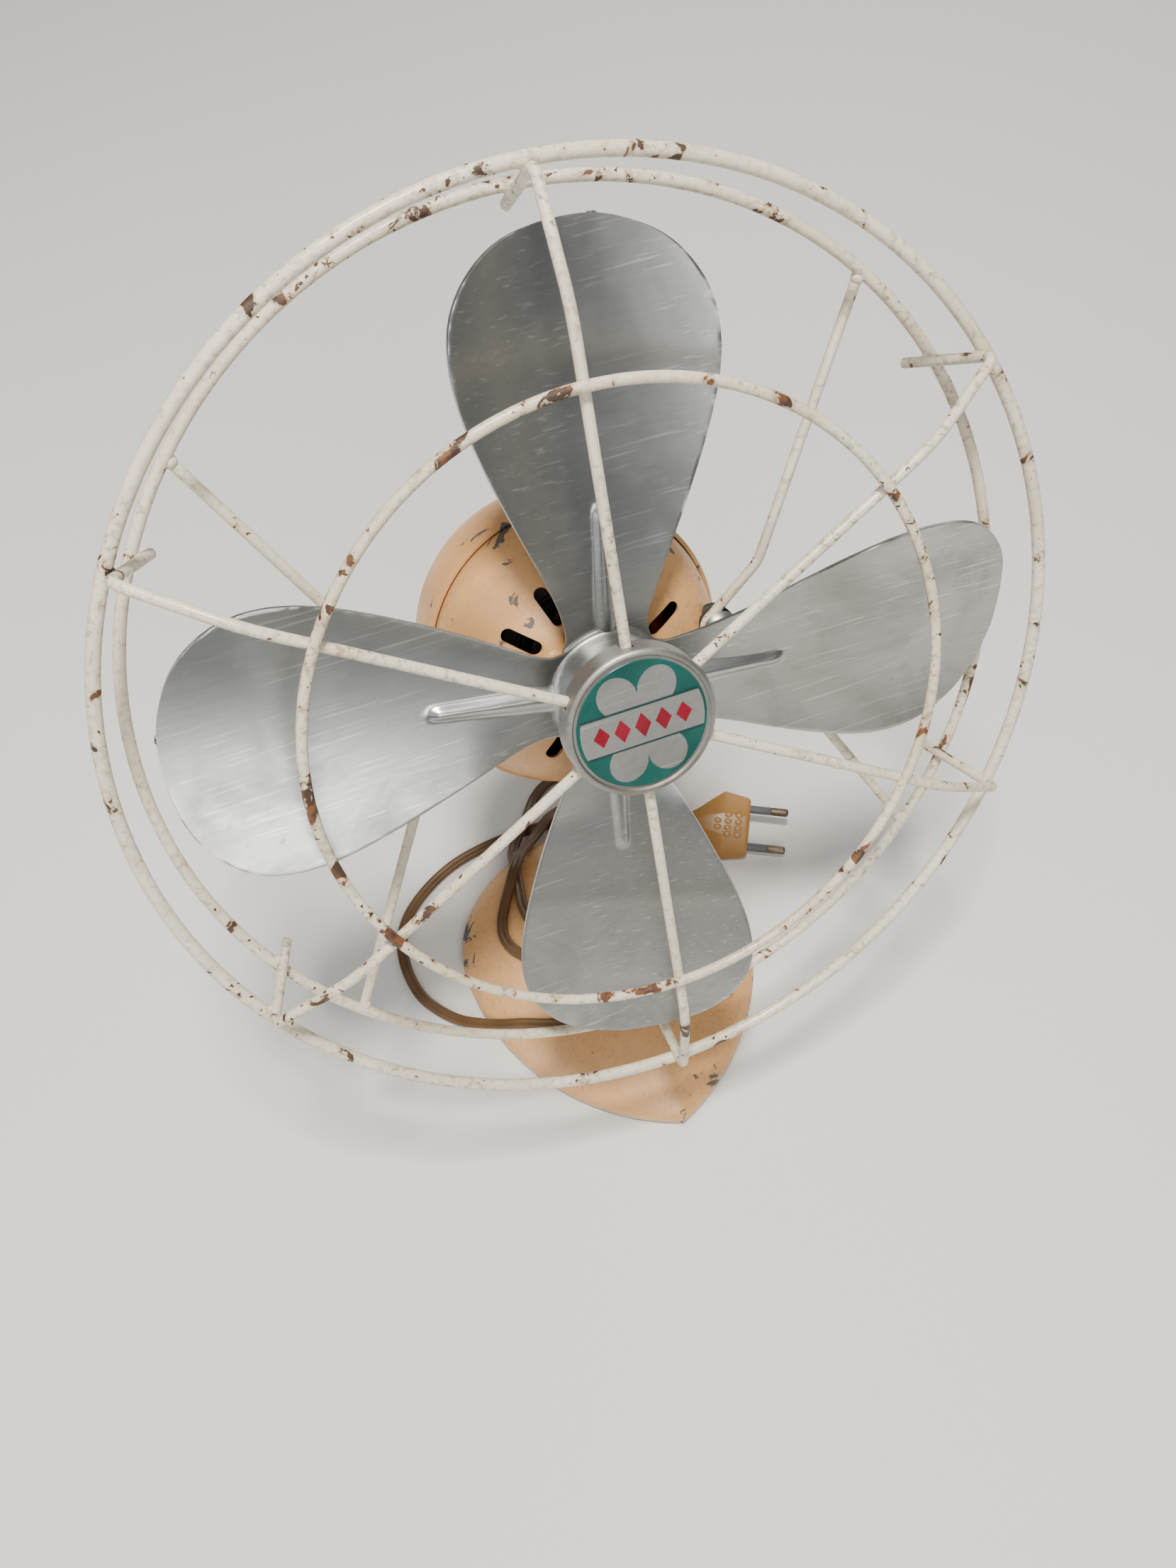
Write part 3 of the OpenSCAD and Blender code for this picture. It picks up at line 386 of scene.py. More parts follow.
PIN_METAL = metal_finish("tarnished pin brass", linear(128, 118, 98), linear(70, 60, 46), 0.42)
RUBBER = moulded("black rubber", linear(30, 28, 27), linear(52, 49, 46), 0.62)
KNOB = moulded("dark knob plastic", linear(34, 30, 28), linear(52, 47, 42), 0.38)
FELT = moulded("green felt", linear(64, 74, 52), linear(84, 92, 66), 0.92, pebble=1600,
               depth=0.0004)
LEAD = moulded("brown lead sheath", linear(84, 60, 36), linear(104, 78, 48), 0.36, pebble=300)
PLUG = moulded("gold brown plug plastic", linear(164, 122, 64), linear(136, 98, 48), 0.34,
               pebble=260, depth=0.0001)
SLEEVE = moulded("grey pin sleeve", linear(92, 94, 96), linear(70, 71, 73), 0.5)
TEAL = moulded("teal badge enamel", linear(20, 82, 74), linear(14, 62, 58), 0.3, pebble=500,
               depth=0.00003)
DARK_TEAL = moulded("dark lining enamel", linear(24, 58, 54), linear(18, 46, 42), 0.35, pebble=500,
                    depth=0.00003)
CRIMSON = moulded("crimson badge enamel", linear(132, 14, 36), linear(104, 10, 28), 0.3, pebble=500,
                  depth=0.00003)
SILVER = metal_finish("silver badge print", linear(190, 191, 188), linear(138, 138, 134), 0.42,
                      stains=(0.38, 0.68),
                      spotting=0.5, scratches=0.3)

# every CAD node starts in its own finish, by the record's material slots
SLOT_FINISH = {
    "ochre_paint": OCHRE, "cream_paint": CREAM, "steel": STEEL, "zinc": ZINC, "iron": IRON,
    "copper_wire": COPPER, "bronze": BRONZE, "felt": FELT, "black_rubber": RUBBER,
    "knob_plastic": KNOB, "blade_aluminium": BLADE, "badge_aluminium": BADGE, "emblem": TEAL,
    "cord_sheath": LEAD, "plug_plastic": PLUG, "pin_sleeve": SLEEVE, "pin_brass": PIN_METAL}
for entry in frame["record"]["subparts"]:
    node = frame["nodes"][entry["node"]]
    node.data.materials.clear()
    node.data.materials.append(SLOT_FINISH[entry["material_slot"]])

# ---------------------------------------------------------------- camera, floor and light
camera_place = Vector((-0.092, -0.210, 0.555))
camera_heading = math.radians(20.3)
camera_pitch = math.radians(59.1)
camera_roll = math.radians(-0.8)
looking = Vector((math.sin(camera_heading) * math.cos(camera_pitch),
                  math.cos(camera_heading) * math.cos(camera_pitch), -math.sin(camera_pitch)))
right = looking.cross(Vector((0, 0, 1))).normalized()
over = right.cross(looking)
turned_right = right * math.cos(camera_roll) + over * math.sin(camera_roll)
turned_over = turned_right.cross(looking)
lens = bpy.data.cameras.new("camera")
lens.sensor_fit = "HORIZONTAL"
lens.sensor_width = 24
lens.lens = 25.9
lens.clip_start = 0.01
camera = bpy.data.objects.new("camera", lens)
camera.matrix_world = Matrix.Translation(camera_place) @ Matrix((
    (turned_right.x, turned_over.x, -looking.x, 0), (turned_right.y, turned_over.y, -looking.y, 0),
    (turned_right.z, turned_over.z, -looking.z, 0), (0, 0, 0, 1)))
bpy.context.collection.objects.link(camera)
bpy.context.scene.camera = camera

floor_bm = bmesh.new()
bmesh.ops.create_grid(floor_bm, x_segments=1, y_segments=1, size=3)
floor_mesh = bpy.data.meshes.new("floor")
floor_bm.to_mesh(floor_mesh)
floor_bm.free()
floor_paper, _, floor_shader, _ = new_finish("pale floor")
floor_shader.inputs["Base Color"].default_value = linear(224, 222, 218)
floor_shader.inputs["Roughness"].default_value = 0.75
floor_mesh.materials.append(floor_paper)
floor = bpy.data.objects.new("floor", floor_mesh)
floor.location.z = -0.0002
bpy.context.collection.objects.link(floor)


def soft_lamp(name, place, aim, size, power, colour):
    """A round soft lamp that looks at a point."""
    light = bpy.data.lights.new(name, "AREA")
    light.shape = "DISK"
    light.size = size
    light.energy = power
    light.color = colour
    lamp = bpy.data.objects.new(name, light)
    lamp.location = place
    lamp.rotation_euler = (Vector(aim) - Vector(place)).to_track_quat("-Z", "Y").to_euler()
    bpy.context.collection.objects.link(lamp)


soft_lamp("key", (-0.10, -0.12, 1.6), (0, 0, 0.1), 0.26, 36, (1.0, 0.955, 0.885))
soft_lamp("front box", (-0.15, -1.25, 1.15), (0, 0, 0.2), 0.8, 11, (1.0, 0.985, 0.96))
soft_lamp("side fill", (-1.3, -0.5, 0.9), (0, 0, 0.15), 1.2, 6, (0.95, 0.97, 1.0))
soft_lamp("back fill", (1.0, 1.2, 1.0), (0, 0, 0.15), 1.2, 7, (1.0, 0.98, 0.95))
world = bpy.data.worlds.new("studio")
world.use_nodes = True
world.node_tree.nodes["Background"].inputs["Color"].default_value = (0.86, 0.88, 0.9, 1)
world.node_tree.nodes["Background"].inputs["Strength"].default_value = 0.2
bpy.context.scene.world = world

# ---------------------------------------------------------------- base shell
back_depth = 55 * MM
widest_y = base_back - back_depth
front_arc_r = ((base_back - base_tip - back_depth) ** 2 + base_half_w ** 2) / (2 * base_half_w)
rim_h = 5 * MM
dome_power = 0.62
# shares of half the outline taken by the front arc and by the rounded back
front_share, back_share = 0.3, 0.2


def base_edge(turn):
    """Point of the base's outline at a share of the way round, 0 at the front point."""
    share = turn if turn <= 0.5 else 1 - turn
    if share < front_share:
        y = base_tip + (widest_y - base_tip) * share / front_share
        x = math.sqrt(front_arc_r ** 2 - (y - widest_y) ** 2) - front_arc_r + base_half_w
    else:
        angle = (share - front_share) / back_share * math.pi / 2
        x = base_half_w * math.cos(angle)
        y = widest_y + back_depth * math.sin(angle)
    return Vector((max(x, 0) if turn <= 0.5 else -max(x, 0), y, 0))


def steps_out(m, p, r):
    """How many times the step p goes into a circle of radius r, starting from m."""
    return (-m.dot(p) + math.sqrt(m.dot(p) ** 2 - p.dot(p) * (m.dot(m) - r * r))) / p.dot(p)


def base_height(x, y):
    """Height of the base's skin over a point of the table, 0 beside the base."""
    dy = y - neck_y
    if abs(x) + abs(dy) < 1e-6:
        return base_top
    side = steps_out(Vector((front_arc_r - base_half_w, neck_y - widest_y)), Vector((abs(x), dy)),
                     front_arc_r)
    back = steps_out(Vector((0, (neck_y - widest_y) / back_depth)),
                     Vector((abs(x) / base_half_w, dy / back_depth)), 1)
    share = 1 / (side if neck_y + side * dy < widest_y else back)
    return skin(share) if share < 1 else 0


def skin(share):
    """Height of the dome at a share of the way out from the neck."""
    return rim_h + (base_top - rim_h) * max(0, 1 - share * share) ** dome_power


def grid_over(columns, rows, place):
    """A grid whose vertices are put where place(u, v) says, u and v from 0 to 1."""
    bm = bmesh.new()
    bmesh.ops.create_grid(bm, x_segments=columns, y_segments=rows, size=0.5)
    for vert in bm.verts:
        vert.co = place(vert.co.x + 0.5, vert.co.y + 0.5)
    bmesh.ops.remove_doubles(bm, verts=bm.verts, dist=1e-6)
    return bm


def copy_of(node):
    """A clean bmesh of a CAD node: corners merged, flat faces whole."""
    bm = bmesh.new()
    bm.from_mesh(frame["nodes"][node].data)
    bmesh.ops.remove_doubles(bm, verts=bm.verts, dist=2e-6)
    bmesh.ops.dissolve_limit(bm, angle_limit=math.radians(0.6), verts=bm.verts, edges=bm.edges)
    return bm


def eased(name, node, body, material, width, sharp=30):
    """A CAD node with its hard edges rounded over."""
    bm = copy_of(node)
    hard = [e for e in bm.edges
            if len(e.link_faces) == 2 and e.calc_face_angle(0) > math.radians(sharp)]
    bmesh.ops.bevel(bm, geom=hard, affect="EDGES", offset=width, segments=2, profile=0.5,
                    material=-1,
                    clamp_overlap=True)
    return settle(name, bm, body, material, [node], sharp=sharp)


def joined(target, *others):
    """Adds other bmeshes to the target."""
    for other in others:
        mesh = bpy.data.meshes.new("part")
        other.to_mesh(mesh)
        other.free()
        target.from_mesh(mesh)
        bpy.data.meshes.remove(mesh)
    return target


def carved(body_bm, tool_bm, how="DIFFERENCE"):
    """The first solid with the second cut out of it, or added to it."""
    pair = []
    for bm in (body_bm, tool_bm):
        bmesh.ops.recalc_face_normals(bm, faces=bm.faces)
        mesh = bpy.data.meshes.new("carve")
        bm.to_mesh(mesh)
        bm.free()
        pair.append(bpy.data.objects.new("carve", mesh))
        bpy.context.collection.objects.link(pair[-1])
    cut = pair[0].modifiers.new("cut", "BOOLEAN")
    cut.operation = how
    cut.solver = "EXACT"
    cut.object = pair[1]
    graph = bpy.context.evaluated_depsgraph_get()
    result = bmesh.new()
    result.from_mesh(pair[0].evaluated_get(graph).to_mesh())
    for thing in pair:
        bpy.data.objects.remove(thing)
    return result


def slot_cutter(inner, outer, width, low, high, turn):
    """A tall bar with round ends, pointing away from the axis."""
    bm = bmesh.new()
    ring = bmesh.ops.create_circle(bm, segments=24, radius=width / 2, cap_ends=True)["verts"]
    for vert in ring:
        vert.co.x += outer if vert.co.x > 1e-9 else inner
        vert.co.z = low
    made = bmesh.ops.extrude_face_region(bm, geom=bm.faces[:])["geom"]
    bmesh.ops.translate(bm, vec=(0, 0, high - low),
                        verts=[g for g in made if isinstance(g, bmesh.types.BMVert)])
    bmesh.ops.rotate(bm, matrix=Matrix.Rotation(turn, 3, "Z"), verts=bm.verts)
    bmesh.ops.recalc_face_normals(bm, faces=bm.faces)
    return bm


def make_base():
    """Pressed shell: an upright edge at the table, then a dome with a ridge that runs to the front point."""
    middle = Vector((0, neck_y, 0))
    foot, shoulder = 1.5 * MM, rim_h - 0.6 * MM
    upright = 0.08

    def place(u, v):
        edge = base_edge(u)
        if v < upright:
            return edge + Vector((0, 0, foot + (shoulder - foot) * v / upright))
        share = math.cos((v - upright) / (1 - upright) * math.pi / 2)
        spot = middle + (edge - middle) * share
        spot.z = max(shoulder, skin(share))
        return spot

    bm = grid_over(200, 50, place)
    return settle("base_dome", bm, "base", BASE_OCHRE, ["base_shell"], sharp=24)


make_base()

# ---------------------------------------------------------------- guard
front_ring_r = 160 * MM
front_wire = 4.5 * MM
rear_ring_r = 153 * MM
rear_wire = 4 * MM
ring_gap = 22 * MM
inner_ring_r = 104 * MM
inner_wire = 3.5 * MM
spoke_wire = 3.6 * MM
bulge = 21.6 * MM
badge_r = 25 * MM
weld = 0.3 * MM
spoke_angles = [math.radians(88.5 - 60 * i) for i in range(6)]
leg_r = front_ring_r - (front_wire + spoke_wire) / 2 + weld
leg_end_r = rear_ring_r - (rear_wire + spoke_wire) / 2 + weld
leg_slope = (leg_r - leg_end_r) / ring_gap
inner_ring_z = bulge + (inner_wire + spoke_wire) / 2 - weld


def on_head(r, angle, z):
    """Point in head space from a radius, an angle and a height."""
    return Vector((r * math.cos(angle), r * math.sin(angle), z))


def guard_ring(name, r, wire, z, node, material):
    """One ring of round wire in the guard."""
    bm = bmesh.new()
    bmesh.ops.create_circle(bm, segments=16, radius=wire / 2,
                            matrix=Matrix.Translation((r, 0, z)) @ Matrix.Rotation(math.pi / 2, 4,
                                                                                   "X"))
    bmesh.ops.spin(bm, geom=bm.verts[:] + bm.edges[:], cent=(0, 0, 0), axis=(0, 0, 1),
                   angle=math.tau,
                   steps=180, use_merge=True)
    settle(name, bm, "head", material, [node], HEAD, sharp=60)


guard_ring("front_guard_ring", front_ring_r, front_wire, 0, "front_ring", CREAM)
guard_ring("rear_guard_ring", rear_ring_r, rear_wire, -ring_gap, "rear_ring", CREAM)
guard_ring("inner_guard_ring", inner_ring_r, inner_wire, inner_ring_z, "inner_ring", RUSTY_CREAM)

bend_top = 8 * MM
leg_tail = 8 * MM
spoke_corners = [(badge_r - 3.2 * MM, bulge), (inner_ring_r + 20 * MM, bulge),
                 (leg_r + bend_top * leg_slope, bend_top), (leg_end_r - leg_tail * leg_slope,
                                                            -ring_gap - leg_tail)]
for number, angle in enumerate(spoke_angles, 1):
    line = bent_path([on_head(r, angle, z) for r, z in spoke_corners], [0, 46 * MM, 4.5 * MM, 0],
                     step=5)
    mesh = tube_mesh("guard_spoke_%d" % number, line, circle_section(spoke_wire), HEAD)
    settle_mesh(mesh.name, mesh, "head", CREAM, ["spoke_%d" % number], sharp=60)

strut_screw_r = 47.5 * MM
strut_z = -23.5 * MM
strut_eye_r = 5.4 * MM
strut_angle = math.radians(43)
strut_end_r = rear_ring_r - rear_wire / 2 + 0.6 * MM
knee = Vector((strut_screw_r + 17.5 * MM, 19.5 * MM))
knee_out = knee - Vector((strut_screw_r, 0))
eye_tip = strut_eye_r / math.sin(math.atan2(knee_out.y, knee_out.x) - math.asin(strut_eye_r
                                                                                / knee_out.length))
strut_half = [(strut_end_r * math.cos(strut_angle), strut_end_r * math.sin(strut_angle)),
              tuple(knee)]
strut_corners = strut_half + [(strut_screw_r - eye_tip, 0)] + [(x, -y) for x,
                                                               y in reversed(strut_half)]
for side, hand in (("right", 1), ("left", -1)):
    line = bent_path([Vector((hand * x, y, strut_z)) for x, y in strut_corners],
                     [0, 14 * MM, strut_eye_r, 14 * MM, 0], step=6)
    mesh = tube_mesh("guard_strut_" + side, line, circle_section(spoke_wire), HEAD)
    settle_mesh(mesh.name, mesh, "head", CREAM, ["strut_" + side], sharp=60)

# beads where the wires are welded together
beads = bmesh.new()
for angle in spoke_angles:
    for r, z, size in ((leg_r + spoke_wire / 2, 0, 1.5), (leg_end_r + spoke_wire / 2, -ring_gap,
                                                          1.4),
                       (inner_ring_r, bulge + spoke_wire / 2, 1.3)):
        bmesh.ops.create_icosphere(beads, subdivisions=2, radius=1.0,
                                   matrix=Matrix.Translation(on_head(r, angle, z))
                                   @ Matrix.Rotation(angle, 4, "Z") @ Matrix.Diagonal((size * MM,
                                                                                       2.3 * MM, size * MM, 1)))
for hand in (1, -1):
    for up in (1, -1):
        spot = Vector((hand * (rear_ring_r - rear_wire / 2) * math.cos(strut_angle),
                       up * (rear_ring_r - rear_wire / 2) * math.sin(strut_angle),
                       -ring_gap - 0.8 * MM))
        bmesh.ops.create_icosphere(beads, subdivisions=2, radius=2.3 * MM,
                                   matrix=Matrix.Translation(spot))
settle("guard_weld_beads", beads, "head", CREAM, (), HEAD, sharp=60)

# ---------------------------------------------------------------- badge
badge_depth = 8.5 * MM
badge_front = bulge - spoke_wire / 2 + badge_depth - 1.2 * MM
badge_rear = badge_front - badge_depth
rim = 1.6 * MM
recess = 0.8 * MM
face_z = badge_front - recess
cup_profile = ([(badge_r - 1.0 * MM, badge_rear), (badge_r, badge_rear),
                (badge_r, badge_front - rim)]
               + arc((badge_r - rim, badge_front - rim), rim, 0, 100, 10)
               + [(badge_r - 2.15 * MM, face_z + 0.35 * MM), (badge_r - 2.5 * MM, face_z),
                  (0, face_z),
                  (0, face_z - recess), (badge_r - 3 * MM, face_z - recess),
                  (badge_r - 1.0 * MM, badge_front - 2.8 * MM), (badge_r - 1.0 * MM, badge_rear)])
cup = turned(cup_profile, 128)
notches = bmesh.new()
for angle in spoke_angles:
    top = bulge + spoke_wire / 2 + 0.25 * MM
    low = badge_rear - 1 * MM
    bmesh.ops.create_cube(notches, size=1, matrix=Matrix.Rotation(angle, 4, "Z")
                          @ Matrix.Translation((badge_r, 0, (top + low) / 2))
                          @ Matrix.Diagonal((8 * MM, spoke_wire + 0.5 * MM, top - low, 1)))
settle("badge_cup_drawn", carved(cup, notches), "head", BADGE, ["badge_cup"],
       HEAD, sharp=40)

emblem_r = 21.6 * MM
print_t = 0.12 * MM


def disc(radius, z, thickness, steps=96):
    """Thin disc with an eased edge."""
    return turned([(0, z), (radius, z), (radius, z + thickness * 0.6), (radius - thickness * 0.4,
                                                                        z + thickness),
                   (0, z + thickness)], steps)


def flat_shape(points, z, thickness):
    """Flat plate with the given outline."""
    bm = bmesh.new()
    bm.faces.new([bm.verts.new((x, y, z)) for x, y in points])
    made = bmesh.ops.extrude_face_region(bm, geom=bm.faces[:])["geom"]
    bmesh.ops.translate(bm, vec=(0, 0, thickness),
                        verts=[g for g in made if isinstance(g, bmesh.types.BMVert)])
    return bm


ground_t = 0.4 * MM
print_z = face_z + ground_t
settle("badge_ground", disc(emblem_r, face_z, ground_t), "head", TEAL, ["badge_emblem"],
       HEAD)
rosette = []
for k in range(180):
    turn = math.tau * k / 180
    lobe = abs(math.cos(3 * turn)) ** 0.6
    rosette.append(((11.0 + 9.2 * lobe) * MM * math.cos(turn), (11.0 + 9.2 * lobe) * MM
                    * math.sin(turn)))
silver = flat_shape(rosette, print_z, print_t)
band_r, band_half = 20.6 * MM, 6.2 * MM


def across_badge(half, radius, z, thickness):
    """Straight band right across the badge, its ends following the rim."""
    reach = math.asin(half / radius)
    bow = [(radius * math.cos(reach * k / 6), radius * math.sin(reach * k / 6)) for k in range(-6,
                                                                                               7)]
    return flat_shape(bow + [(-x, -y) for x, y in bow], z, thickness)


lining = across_badge(band_half + 0.7 * MM, band_r, print_z, 2 * print_t)
bright = across_badge(band_half, band_r, print_z, 3 * print_t)
settle("badge_rosette", joined(silver, bright), "head", SILVER, (), HEAD)
settle("badge_lining", lining, "head", DARK_TEAL, (), HEAD)
lozenges = []
for k in range(5):
    x = (k - 2) * 6.9 * MM
    tall = (4.3 - 0.35 * abs(k - 2)) * MM
    lozenges.append(flat_shape([(x - 2.7 * MM, 0), (x, -tall), (x + 2.7 * MM, 0), (x, tall)],
                               print_z + 3 * print_t, print_t))
settle("badge_lozenges", joined(bmesh.new(), *lozenges), "head", CRIMSON, (), HEAD)

# ---------------------------------------------------------------- propeller
prop_z = -3 * MM
sheet_t = 1.2 * MM
camber_r = 170 * MM
boss_r = 20.8 * MM
boss_h = 8 * MM
boss_skirt = 6 * MM
rib_end = 59 * MM
rib_h = 2.1 * MM
flare_from, flare_run = 17 * MM, 34 * MM
edge_step = 2.2 * MM
# edges of half a strip in mm: along the blade, then out from its middle line. First the hub and
# waist, then the leading and the trailing edge of the blade
hub_edge = [(0, 21.3), (4, 20.9), (8, 19.7), (12, 17.6), (16, 15.0), (20, 13.9), (25, 14.6)]
lead_edge = [(32, 16.5), (46, 22.3), (62, 29.3), (80, 36.5), (96, 41.5), (110, 43.3), (122, 41.4),
             (132, 35.0),
             (139.5, 25.0), (143.2, 12), (144.2, 1), (144, -4)]
trail_edge = [(32, -17.5), (46, -23.5), (62, -30.0), (80, -36.3), (96, -40.3), (110, -40.8),
              (122, -37.6),
              (132, -30.6), (138.5, -22), (142.4, -12), (143.8, -6), (144, -4)]
# direction of each blade's rib and its twist, both a little off true on an old fan
blades = [("front", -7, 16), ("back", 83, 4), ("front", 169.6, 7), ("back", 263.5, 10)]
strip_turn = {"front": -8.7, "back": 83.2}


def blade_edge(points, hand):
    """Even points along one edge of a blade, from the middle of the hub to the tip."""
    line = [Vector((x * MM, hand * y * MM, 0)) for x,
            y in hub_edge] + [Vector((x * MM, y * MM, 0)) for x, y in points]
    return smooth_route(line, edge_step)


def along(points, t):
    """Place at the share t of a list of points."""
    spot = t * (len(points) - 1)
    i = min(int(spot), len(points) - 2)
    return points[i].lerp(points[i + 1], spot - i)


edge_up, edge_down = blade_edge(lead_edge, 1), blade_edge(trail_edge, -1)


def ease(x):
    """Smooth step from 0 to 1."""
    x = max(0.0, min(1.0, x))
    return x * x * (3 - 2 * x)


def blade_place(layer, turn, twist):
    """Function that puts a blade's grid in place: u across the blade, v from the hub to the tip."""
    slope = math.tan(math.radians(twist))
    middle_turn = strip_turn[layer] + (180 if turn > strip_turn[layer] + 90 else 0)
    low = prop_z - (sheet_t + 0.1 * MM if layer == "back" else 0)

    def place(u, v):
        t = 1 - (1 - v) ** 1.2
        across = 2 * u - 1
        across = 0.5 + 0.5 * math.copysign(abs(across) ** 1.2, across)
        spot = along(edge_down, t).lerp(along(edge_up, t), across)
        x, s = spot.x, spot.y
        r = math.hypot(x, s)
        flare = ease((x - flare_from) / flare_run)
        z = flare * (s * slope + s * s / (2 * camber_r)) + boss_h * ease((boss_r - r) / boss_skirt)
        rib_half = (4.6 - 1.6 * ease((x - 24 * MM) / (34 * MM))) * MM
        off = abs(s) if x < rib_end else math.hypot(s, x - rib_end)
        z += rib_h * ease((x - 18 * MM) / (4 * MM)) * (0.5 + 0.5 * math.cos(math.pi * min(1,
                                                                                          off / rib_half)))
        angle = math.radians(middle_turn + (turn - middle_turn) * ease((x - 12 * MM) / (16 * MM)))
        return Vector((x * math.cos(angle) - s * math.sin(angle), x * math.sin(angle) + s
                       * math.cos(angle), low + z))

    return place


sheet = bmesh.new()
for layer, turn, twist in blades:
    joined(sheet, grid_over(64, 116, blade_place(layer, turn, twist)))
bmesh.ops.remove_doubles(sheet, verts=sheet.verts, dist=1e-5)
bmesh.ops.recalc_face_normals(sheet, faces=sheet.faces)
bmesh.ops.transform(sheet, matrix=HEAD, verts=sheet.verts)
sheet_mesh = bpy.data.meshes.new("fan_blades")
sheet.to_mesh(sheet_mesh)
sheet.free()
propeller = settle_mesh("fan_blades", sheet_mesh, "fan", BLADE, ["propeller"],
                        sharp=50)
wall = propeller.modifiers.new("sheet", "SOLIDIFY")
wall.thickness = sheet_t
wall.offset = 0
edge_round = propeller.modifiers.new("edge", "BEVEL")
edge_round.width = 0.35 * MM
edge_round.segments = 2
edge_round.limit_method = "ANGLE"
edge_round.angle_limit = math.radians(60)

# ---------------------------------------------------------------- motor shells
seam_z = -43 * MM
motor_r = 51.5 * MM
dome_h = 28 * MM
shell_t = 1.5 * MM
dome_top = seam_z + dome_h
rear_r = motor_r + shell_t + 0.6 * MM
drum_l = 20 * MM
back_h = 34 * MM
rear_end = seam_z - drum_l - back_h
bush_hole_r = 7 * MM
bush_boss_r = 12 * MM
bush_boss_l = 15 * MM
lip_l = 10 * MM
slot_turns = [math.radians(22 + 30 * k) for k in range(12)]


def bell(r, h, start, steps, direction):
    """Quarter ellipse profile from the rim to the axis."""
    return [(r * math.cos(math.pi / 2 * k / steps), start + direction * h
             * math.sin(math.pi / 2 * k / steps))
            for k in range(steps + 1)]


front_outer = bell(motor_r, dome_h, seam_z, 40, 1)
front_inner = bell(motor_r - shell_t, dome_h - shell_t, seam_z, 40, 1)
front_profile = ([(motor_r - shell_t, seam_z - lip_l), (motor_r, seam_z - lip_l)]
                 + [p for p in front_outer if p[0] > bush_hole_r]
                 + [(bush_hole_r, dome_top - 0.2 * MM), (bush_hole_r, dome_top - bush_boss_l),
                    (bush_boss_r, dome_top - bush_boss_l), (bush_boss_r, dome_top - 3 * MM)]
                 + [p for p in reversed(front_inner) if p[0] > 12.5 * MM]
                 + [(motor_r - shell_t, seam_z - lip_l)])
front_bell = turned(front_profile, 160)
cutters = joined(bmesh.new(), *[slot_cutter(24.6 * MM, 33.4 * MM, 5.2 * MM, seam_z + 10 * MM, 0,
                                            turn)
                                for turn in slot_turns])
front_bell = carved(front_bell, cutters)
bmesh.ops.remove_doubles(front_bell, verts=front_bell.verts, dist=1e-6)
settle("motor_front_bell", front_bell, "head", OCHRE, ["motor_front_shell"], HEAD,
       sharp=38)

rear_profile = ([(rear_r - shell_t, seam_z - 0.2 * MM), (rear_r - 0.5 * MM, seam_z),
                 (rear_r, seam_z - 0.7 * MM)]
                + bell(rear_r, back_h, seam_z - drum_l, 44, -1)[:-1] + [(0, rear_end)]
                + [(0, rear_end + shell_t)] + list(reversed(bell(rear_r - shell_t, back_h - shell_t,
                                                                  seam_z - drum_l, 44, -1)[:-1]))
                + [(rear_r - shell_t, seam_z - 0.2 * MM)])
rear_bell = turned(rear_profile, 160)
cutters = joined(bmesh.new(), *[slot_cutter(22 * MM, 29 * MM, 4.6 * MM, rear_end - 5 * MM,
                                            rear_end + 22 * MM, turn)
                                for turn in slot_turns])
rear_bell = carved(rear_bell, cutters)
settle("motor_rear_bell", rear_bell, "head", OCHRE, ["motor_rear_shell"], HEAD,
       sharp=38)

rivet_r = 17.5 * MM
rivet_top = seam_z + dome_h * math.sqrt(1 - (rivet_r / motor_r) ** 2) - 0.5 * MM
rivets = bmesh.new()
for degrees in (143, 263, 23):
    head = turned([(2.7 * MM, 0)] + [(2.7 * MM * math.cos(a), 1.8 * MM * math.sin(a))
                                     for a in [math.pi / 2 * k / 8 for k in range(9)]], 32)
    bmesh.ops.translate(head, vec=on_head(rivet_r, math.radians(degrees), rivet_top),
                        verts=head.verts)
    joined(rivets, head)
settle("nose_rivets", rivets, "head", OCHRE, ["bearing_rivets"], HEAD)


def screw_head(r, h, slot_w, angle):
    """Domed head with a slot, standing on z = 0."""
    ball = (r * r + h * h) / (2 * h)
    top = math.asin(r / ball)
    dome = [(ball * math.sin(top * (1 - k / 10)), h - ball + ball * math.cos(top * (1 - k / 10)))
            for k in range(11)]
    body = turned([(0, -0.3 * MM), (r - 0.2 * MM, -0.3 * MM), (r, 0)] + dome[:-1] + [(0, h)], 48)
    tool = bmesh.new()
    bmesh.ops.create_cube(tool, size=1, matrix=Matrix.Rotation(angle, 4, "Z")
                          @ Matrix.Translation((0, 0, h)) @ Matrix.Diagonal((3 * r, slot_w,
                                                                             h * 0.95, 1)))
    return carved(body, tool)


screws = bmesh.new()
bushes = bmesh.new()
for hand, turn in ((1, 70), (-1, 25)):
    head = screw_head(6.4 * MM, 3.4 * MM, 1.2 * MM, math.radians(turn))
    bmesh.ops.translate(head, vec=(hand * strut_screw_r, 0, strut_z + spoke_wire / 2),
                        verts=head.verts)
    joined(screws, head)
    bush = turned([(2.1 * MM, -5.6 * MM), (6.2 * MM, -5.6 * MM), (6.6 * MM, -5.2 * MM),
                   (6.6 * MM, -3.4 * MM),
                   (5.6 * MM, -2.8 * MM), (5.6 * MM, -2.2 * MM), (6.6 * MM, -1.6 * MM),
                   (6.6 * MM, -0.4 * MM),
                   (6.2 * MM, 0), (2.1 * MM, 0), (2.1 * MM, -5.6 * MM)], 48)
    bmesh.ops.translate(bush, vec=(hand * strut_screw_r, 0, strut_z - spoke_wire / 2),
                        verts=bush.verts)
    joined(bushes, bush)
settle("strut_screw_heads", screws, "head", ZINC, ["strut_screws"], HEAD)
settle("strut_rubber_bushes", bushes, "head", RUBBER, ["strut_bushes"], HEAD)

